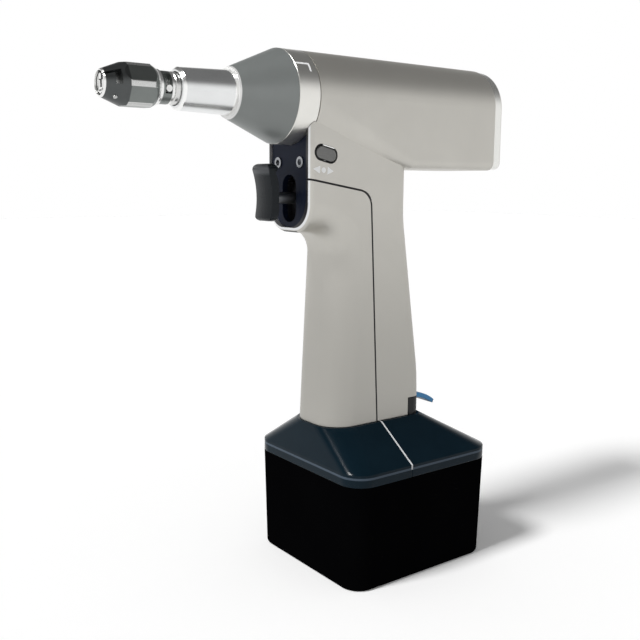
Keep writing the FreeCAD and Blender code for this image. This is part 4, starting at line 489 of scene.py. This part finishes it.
def wound():
    """Enamelled copper wire laid side by side."""
    finish = Finish("copper_winding")
    turns = finish.node("ShaderNodeTexWave", {"bands_direction": "DIAGONAL"}, {
        "Vector": finish.spot(), "Scale": 420.0, "Distortion": 0.6})
    return finish.set(
        Base_Color=finish.blend(turns, (0.36, 0.12, 0.04), (0.78, 0.32, 0.12)), Metallic=0.85, Roughness=0.3,
        Normal=finish.bump(turns, 0.00008))


dress(steel("cam_steel", (0.58, 0.58, 0.58), 0.2), "cam_drum", "cam_gear", "motor_pinion", "motor_shaft")
dress(steel("bearing_steel", (0.72, 0.72, 0.72), 0.14),
      "cam_front_bearing", "cam_rear_bearing", "motor_front_bearing", "motor_rear_bearing")
dress(coated("plate_alloy", (0.55, 0.56, 0.58), 0.35, 0.9), "motor_plate", "front_bearing_plate")
dress(coated("can_plating", (0.42, 0.43, 0.44), 0.28, 0.9, 250), "motor_can")
dress(coated("bell_resin", (0.02, 0.02, 0.022), 0.45, 0.0, 600), "motor_end_bell")
dress(laminated(), "stator_core")
dress(wound(), "stator_windings")
dress(coated("magnet_nickel", (0.50, 0.49, 0.46), 0.22, 1.0), "rotor_magnet", "trigger_magnet")

# Trigger plate, bush, stem and pad
# A blue-black plate is let into the tower; the pad's steel stem slides in a bush behind its slot. The pad is
# glossy, and its lip is worn a little and painted lighter as a highlight.


def blued(name, colour, rough, wear_and_highlight_below=None, metallic=0.35, specular=0.35):
    """Blue-black hard coat with fine speckle, greyed on the lip as wear and as a painted highlight."""
    finish = Finish(name)
    speckle = finish.grain(finish.spot(), 2600, 3)
    cloud = finish.grain(finish.spot(), 90, 3)
    coat = finish.blend(cloud, shade(colour, 0.85), shade(colour, 1.15))
    if wear_and_highlight_below is not None:
        # Wear and painted highlight: the front of the pad's lip is mixed a quarter towards light grey.
        wear_and_highlight = finish.ramp(finish.along("X"), wear_and_highlight_below, wear_and_highlight_below + 0.0006, 1.0, 0.0)
        coat = finish.blend(wear_and_highlight * 0.25, coat, (0.30, 0.31, 0.33))
    return finish.set(
        Base_Color=coat, Metallic=metallic, Roughness=rough + speckle * 0.10, Specular_IOR_Level=specular,
        Normal=finish.bump(speckle, 0.000006))


pad_front_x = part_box("trigger_pad")[0].x
dress(blued("blued_pad", (0.010, 0.013, 0.016), 0.18, pad_front_x + 0.0003, 0.1, 0.16), "trigger_pad")
dress(blued("blued_plate", (0.006, 0.010, 0.024), 0.34, None, 0.15, 0.08), "trigger_plate")
dress(steel("plate_screw_steel", (0.34, 0.35, 0.37), 0.22), "trigger_plate_screws")
dress(steel("stem_steel", (0.40, 0.41, 0.42), 0.26), "trigger_stem")
dress(blued("blackened_bush", (0.010, 0.010, 0.012), 0.4, None, 0.2), "trigger_bush")
dress(coated("sensor_resin", (0.015, 0.016, 0.018), 0.42, 0.0, 900), "trigger_sensor")
soften(0.0005, "trigger_pad")

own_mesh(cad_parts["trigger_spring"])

# Direction button and its printed marks
# A rocking button in a window above the seam, in a rubber bezel with a bright steel strip above it that is a
# painted highlight on the window's upper edge; two arrows and a dot are printed below it for the directions.
side_y = -0.017
button_x, button_z = -0.0432, 0.1939
button_half_long, button_half_high = 0.0054, 0.0028
button_lean = math.radians(13)


def leaning(run, rise, lean, x=button_x, z=button_z):
    """A place on the housing's side: run along a line that slopes down to the rear, and rise above it."""
    across = x + run * math.cos(lean) + rise * math.sin(lean)
    up = z + rise * math.cos(lean) - run * math.sin(lean)
    return (across, side_y, up)


def satin_button():
    """Satin metal with fine lines along its length."""
    finish = Finish("satin_button")
    lines = finish.grain(finish.spot((0.2, 1, 1)), 3000, 3)
    return finish.set(
        Base_Color=finish.blend(lines, (0.13, 0.13, 0.125), (0.19, 0.19, 0.185)), Metallic=0.9,
        Roughness=0.34 + lines * 0.12, Normal=finish.bump(lines, 0.000004))


dress(satin_button(), "direction_button")
dress(steel("pin_steel"), "button_pin", "latch_pin")
soften(0.0004, "direction_button")

dot_x, dot_z, dot_radius = -0.04445, 0.1870, 0.00115
arrow_near, arrow_half = 0.0020, 0.00165
print_lean = math.radians(5)
print_depth = (0, -0.00004, 0)
dot_turns = [math.tau * step / 24 for step in range(24)]
marks = [
    ("arrow_back", [(-0.0057, 0), (-arrow_near, -arrow_half), (-arrow_near, arrow_half)]),
    ("arrow_forward", [(0.0054, 0), (arrow_near, arrow_half), (arrow_near, -arrow_half)]),
    ("off_dot", [(dot_radius * math.cos(turn), dot_radius * math.sin(turn)) for turn in dot_turns]),
]
for label, corners in marks:
    mark = slab_of(
        label, [leaning(run, rise, print_lean, dot_x, dot_z) for run, rise in corners], print_depth)
    mark.data.materials.append(white_fill)
    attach(mark, "handpiece")

bezel_inner, bezel_outer = 0.00035, 0.00080
bezel_crest, bezel_foot = 0.00025, 0.00005
bezel_rings = []
for offset, lift in ((bezel_inner, bezel_crest), (bezel_outer, bezel_foot), (bezel_outer, 0.0)):
    radius = button_half_high + offset
    straight = button_half_long - button_half_high
    ring = []
    for side in (1, -1):
        for step in range(25):
            turn = math.pi * (step / 24 - 0.5)
            ring.append(leaning(
                side * (straight + radius * math.cos(turn)), side * radius * math.sin(turn), button_lean))
    bezel_rings.append([(x, y - lift, z) for x, y, z in ring])
shape = bmesh.new()
inner, front, outer = ([shape.verts.new(spot) for spot in ring] for ring in bezel_rings)
for index in range(len(inner)):
    following = (index + 1) % len(inner)
    shape.faces.new((inner[index], inner[following], front[following], front[index]))
    shape.faces.new((front[index], front[following], outer[following], outer[index]))
bezel = finished(shape, "button_bezel")
bezel.data.materials.append(rubber("bezel_rubber", (0.010, 0.010, 0.011)))
# Painted highlight: a thin bright steel strip above the window stands in for the glint on its upper edge.
glint_strip_corners = [(-0.0029, 0.0030), (0.0036, 0.0030), (0.0034, 0.0034), (-0.0027, 0.0034)]
glint_strip = slab_of("bezel_glint_strip", [leaning(run, rise, button_lean) for run, rise in glint_strip_corners], (0, -0.0004, 0))
glint_strip.data.materials.append(steel("glint_strip_steel", (0.90, 0.90, 0.89), 0.30))
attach(glint_strip, "handpiece")
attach(bezel, "handpiece")

# Boards, sensor and contacts
# A fibre board stands in the handle with its copper tracks under green mask; gilt pins in a black block plug
# into the battery.


def masked_board():
    finish = Finish("board_mask")
    tracks = finish.node("ShaderNodeTexVoronoi", {"distance": "MANHATTAN"}, {
        "Vector": finish.spot(), "Scale": 420.0})
    copper = finish.ramp(tracks, 0.30, 0.34)
    return finish.set(
        Base_Color=finish.blend(copper, (0.010, 0.085, 0.032), (0.022, 0.16, 0.06)), Roughness=0.32,
        Normal=finish.bump(copper, 0.00003))


dress(masked_board(), "control_board")
dress(coated("contact_gilt", (0.83, 0.60, 0.22), 0.2, 1.0), "contact_pins", "battery_terminals")
dress(coated("block_resin", (0.018, 0.018, 0.020), 0.4, 0.0, 700), "contact_block", "terminal_block")

# Battery case, lid and cells
# A matt black moulded case under a glossy blue-black lid in two halves, with eight film-wrapped cells inside.


def moulded_case():
    """Matt moulded plastic with a fine spark texture."""
    finish = Finish("case_plastic")
    spark = finish.grain(finish.spot(), 2200, 4, 0.6)
    cloud = finish.grain(finish.spot(), 30, 3)
    return finish.set(
        Base_Color=finish.blend(cloud, (0.0010, 0.0010, 0.0012), (0.0020, 0.0020, 0.0023)),
        Roughness=0.50 + spark * 0.16, Specular_IOR_Level=0.0, Normal=finish.bump(spark, 0.00002))


lid_split_x = (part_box("battery_lid_front")[1].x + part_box("battery_lid_rear")[0].x) / 2
lid_edge_z, lid_crown_z = 0.0530, 0.0712
seam_highlight_half = 0.00042


def glossy_lid():
    """Glossy moulded plastic, faintly uneven and scuffed, with painted highlights along the seam between the
    halves and along the edge above the skirt."""
    finish = Finish("lid_plastic")
    wave = finish.grain(finish.spot(), 60, 3)
    scuff = finish.ramp(finish.grain(finish.spot((1, 0.3, 1)), 900, 4, 0.7), 0.60, 0.80)
    # Painted highlight: a pale line along the seam between the halves.
    seam_highlight = (finish.between("X", lid_split_x - seam_highlight_half, lid_split_x + seam_highlight_half, 0.00006)
            * finish.between("Z", lid_edge_z, lid_crown_z))
    # Painted highlight: a pale blue-grey band along the edge above the skirt.
    edge = finish.between("Z", lid_edge_z - 0.0001, lid_edge_z + 0.0006, 0.0003) * 0.3
    plastic = finish.blend(wave, (0.0018, 0.0075, 0.0130), (0.0040, 0.0130, 0.0205))
    plastic = finish.blend(edge, plastic, (0.18, 0.23, 0.30))
    return finish.set(
        Base_Color=finish.blend(seam_highlight, plastic, (0.62, 0.63, 0.64)),
        Roughness=0.17 + scuff * 0.12, Specular_IOR_Level=0.09, Normal=finish.bump(wave, 0.00006, 0.4))


def wrapped_cells():
    finish = Finish("cell_film")
    crease = finish.grain(finish.spot((1, 1, 0.2)), 500, 3)
    return finish.set(
        Base_Color=finish.blend(crease, (0.03, 0.16, 0.24), (0.05, 0.24, 0.36)),
        Roughness=0.3 + crease * 0.15, Normal=finish.bump(crease, 0.00003))


dress(moulded_case(), "battery_case")
dress(glossy_lid(), "battery_lid_front", "battery_lid_rear")
dress(wrapped_cells(), "battery_cells")
soften(0.0005, "battery_lid_front", "battery_lid_rear")

# Latch block and release tab
# A black block fills the notch at the handle's heel, and a bright blue tab comes out of it to free the
# battery.


def tab_plastic():
    finish = Finish("tab_plastic")
    grain = finish.grain(finish.spot(), 900, 3)
    return finish.set(
        Base_Color=finish.blend(grain, (0.040, 0.245, 0.53), (0.052, 0.28, 0.59)),
        Roughness=0.30 + grain * 0.12, Specular_IOR_Level=0.4, Normal=finish.bump(grain, 0.00001))


dress(coated("latch_plastic", (0.008, 0.0085, 0.010), 0.36, 0.0, 900, 0.00001, 0.25), "latch_block")
dress(tab_plastic(), "release_tab")
soften(0.0004, "release_tab", "latch_block")

# Camera, light and floor
# The view from ahead of the nose and a little above. An even white studio that darkens overhead gives the
# metal its dark top, one broad light lays the shadow to the right, and the floor is white paper.
camera_data = bpy.data.cameras.new("camera")
camera_data.sensor_width = 36
camera_data.lens = 47.43
camera_data.clip_start = 0.01
camera = bpy.data.objects.new("camera", camera_data)
scene.collection.objects.link(camera)
camera_place = (-0.26452, -0.31028, 0.18124)
azimuth, pitch, roll = math.radians(36.7), math.radians(9.18), math.radians(0.4)
forward = Vector((math.sin(azimuth) * math.cos(pitch), math.cos(azimuth) * math.cos(pitch), -math.sin(pitch)))
level = Vector((math.cos(azimuth), -math.sin(azimuth), 0))
upright = level.cross(forward)
right = math.cos(roll) * level + math.sin(roll) * upright
top = -math.sin(roll) * level + math.cos(roll) * upright
turned = Matrix((right, top, -forward)).transposed().to_4x4()
camera.matrix_world = Matrix.Translation(camera_place) @ turned
scene.camera = camera

scene.view_settings.view_transform = "Standard"

sun = bpy.data.lights.new("broad_light", "SUN")
sun.energy = 2.6
sun.angle = math.radians(13)
stand = bpy.data.objects.new("broad_light", sun)
towards_light = Vector((-0.80, 0.03, 1.0))
stand.rotation_euler = towards_light.to_track_quat("Z", "Y").to_euler()
scene.collection.objects.link(stand)

world = bpy.data.worlds.new("studio")
world.use_nodes = True
scene.world = world
studio = Nodes(world.node_tree)
heading = studio.node("ShaderNodeTexCoord", output=0)
height = studio.node("ShaderNodeSeparateXYZ", inputs={0: heading}, output=2)
background = world.node_tree.nodes["Background"]
background.inputs["Color"].default_value = (1, 1, 1, 1)
even_up_to, dark_from, overhead = 0.20, 0.62, 0.14
studio.feed(background.inputs["Strength"], studio.ramp(height, even_up_to, dark_from, 1.0, overhead))

floor_mesh = bpy.data.meshes.new("floor")
reach = 4
floor_mesh.from_pydata(
    [(-reach, -reach, 0), (reach, -reach, 0), (reach, reach, 0), (-reach, reach, 0)], [], [(0, 1, 2, 3)])
floor = bpy.data.objects.new("floor", floor_mesh)
scene.collection.objects.link(floor)
sheet = Finish("paper")
fibre = sheet.grain(sheet.spot(), 300, 3)
diffuse_ray = 2
bounce = sheet.node("ShaderNodeLightPath", output=diffuse_ray)
shown = (1 - bounce) * 0.08
floor_mesh.materials.append(sheet.set(
    Base_Color=sheet.blend(bounce, (0.99, 0.99, 0.99), (0.72, 0.72, 0.72)), Roughness=0.9 + fibre * 0.05,
    Specular_IOR_Level=0.0, Emission_Color=sheet.blend(shown, (0, 0, 0), (1, 1, 1)), Emission_Strength=1.0))
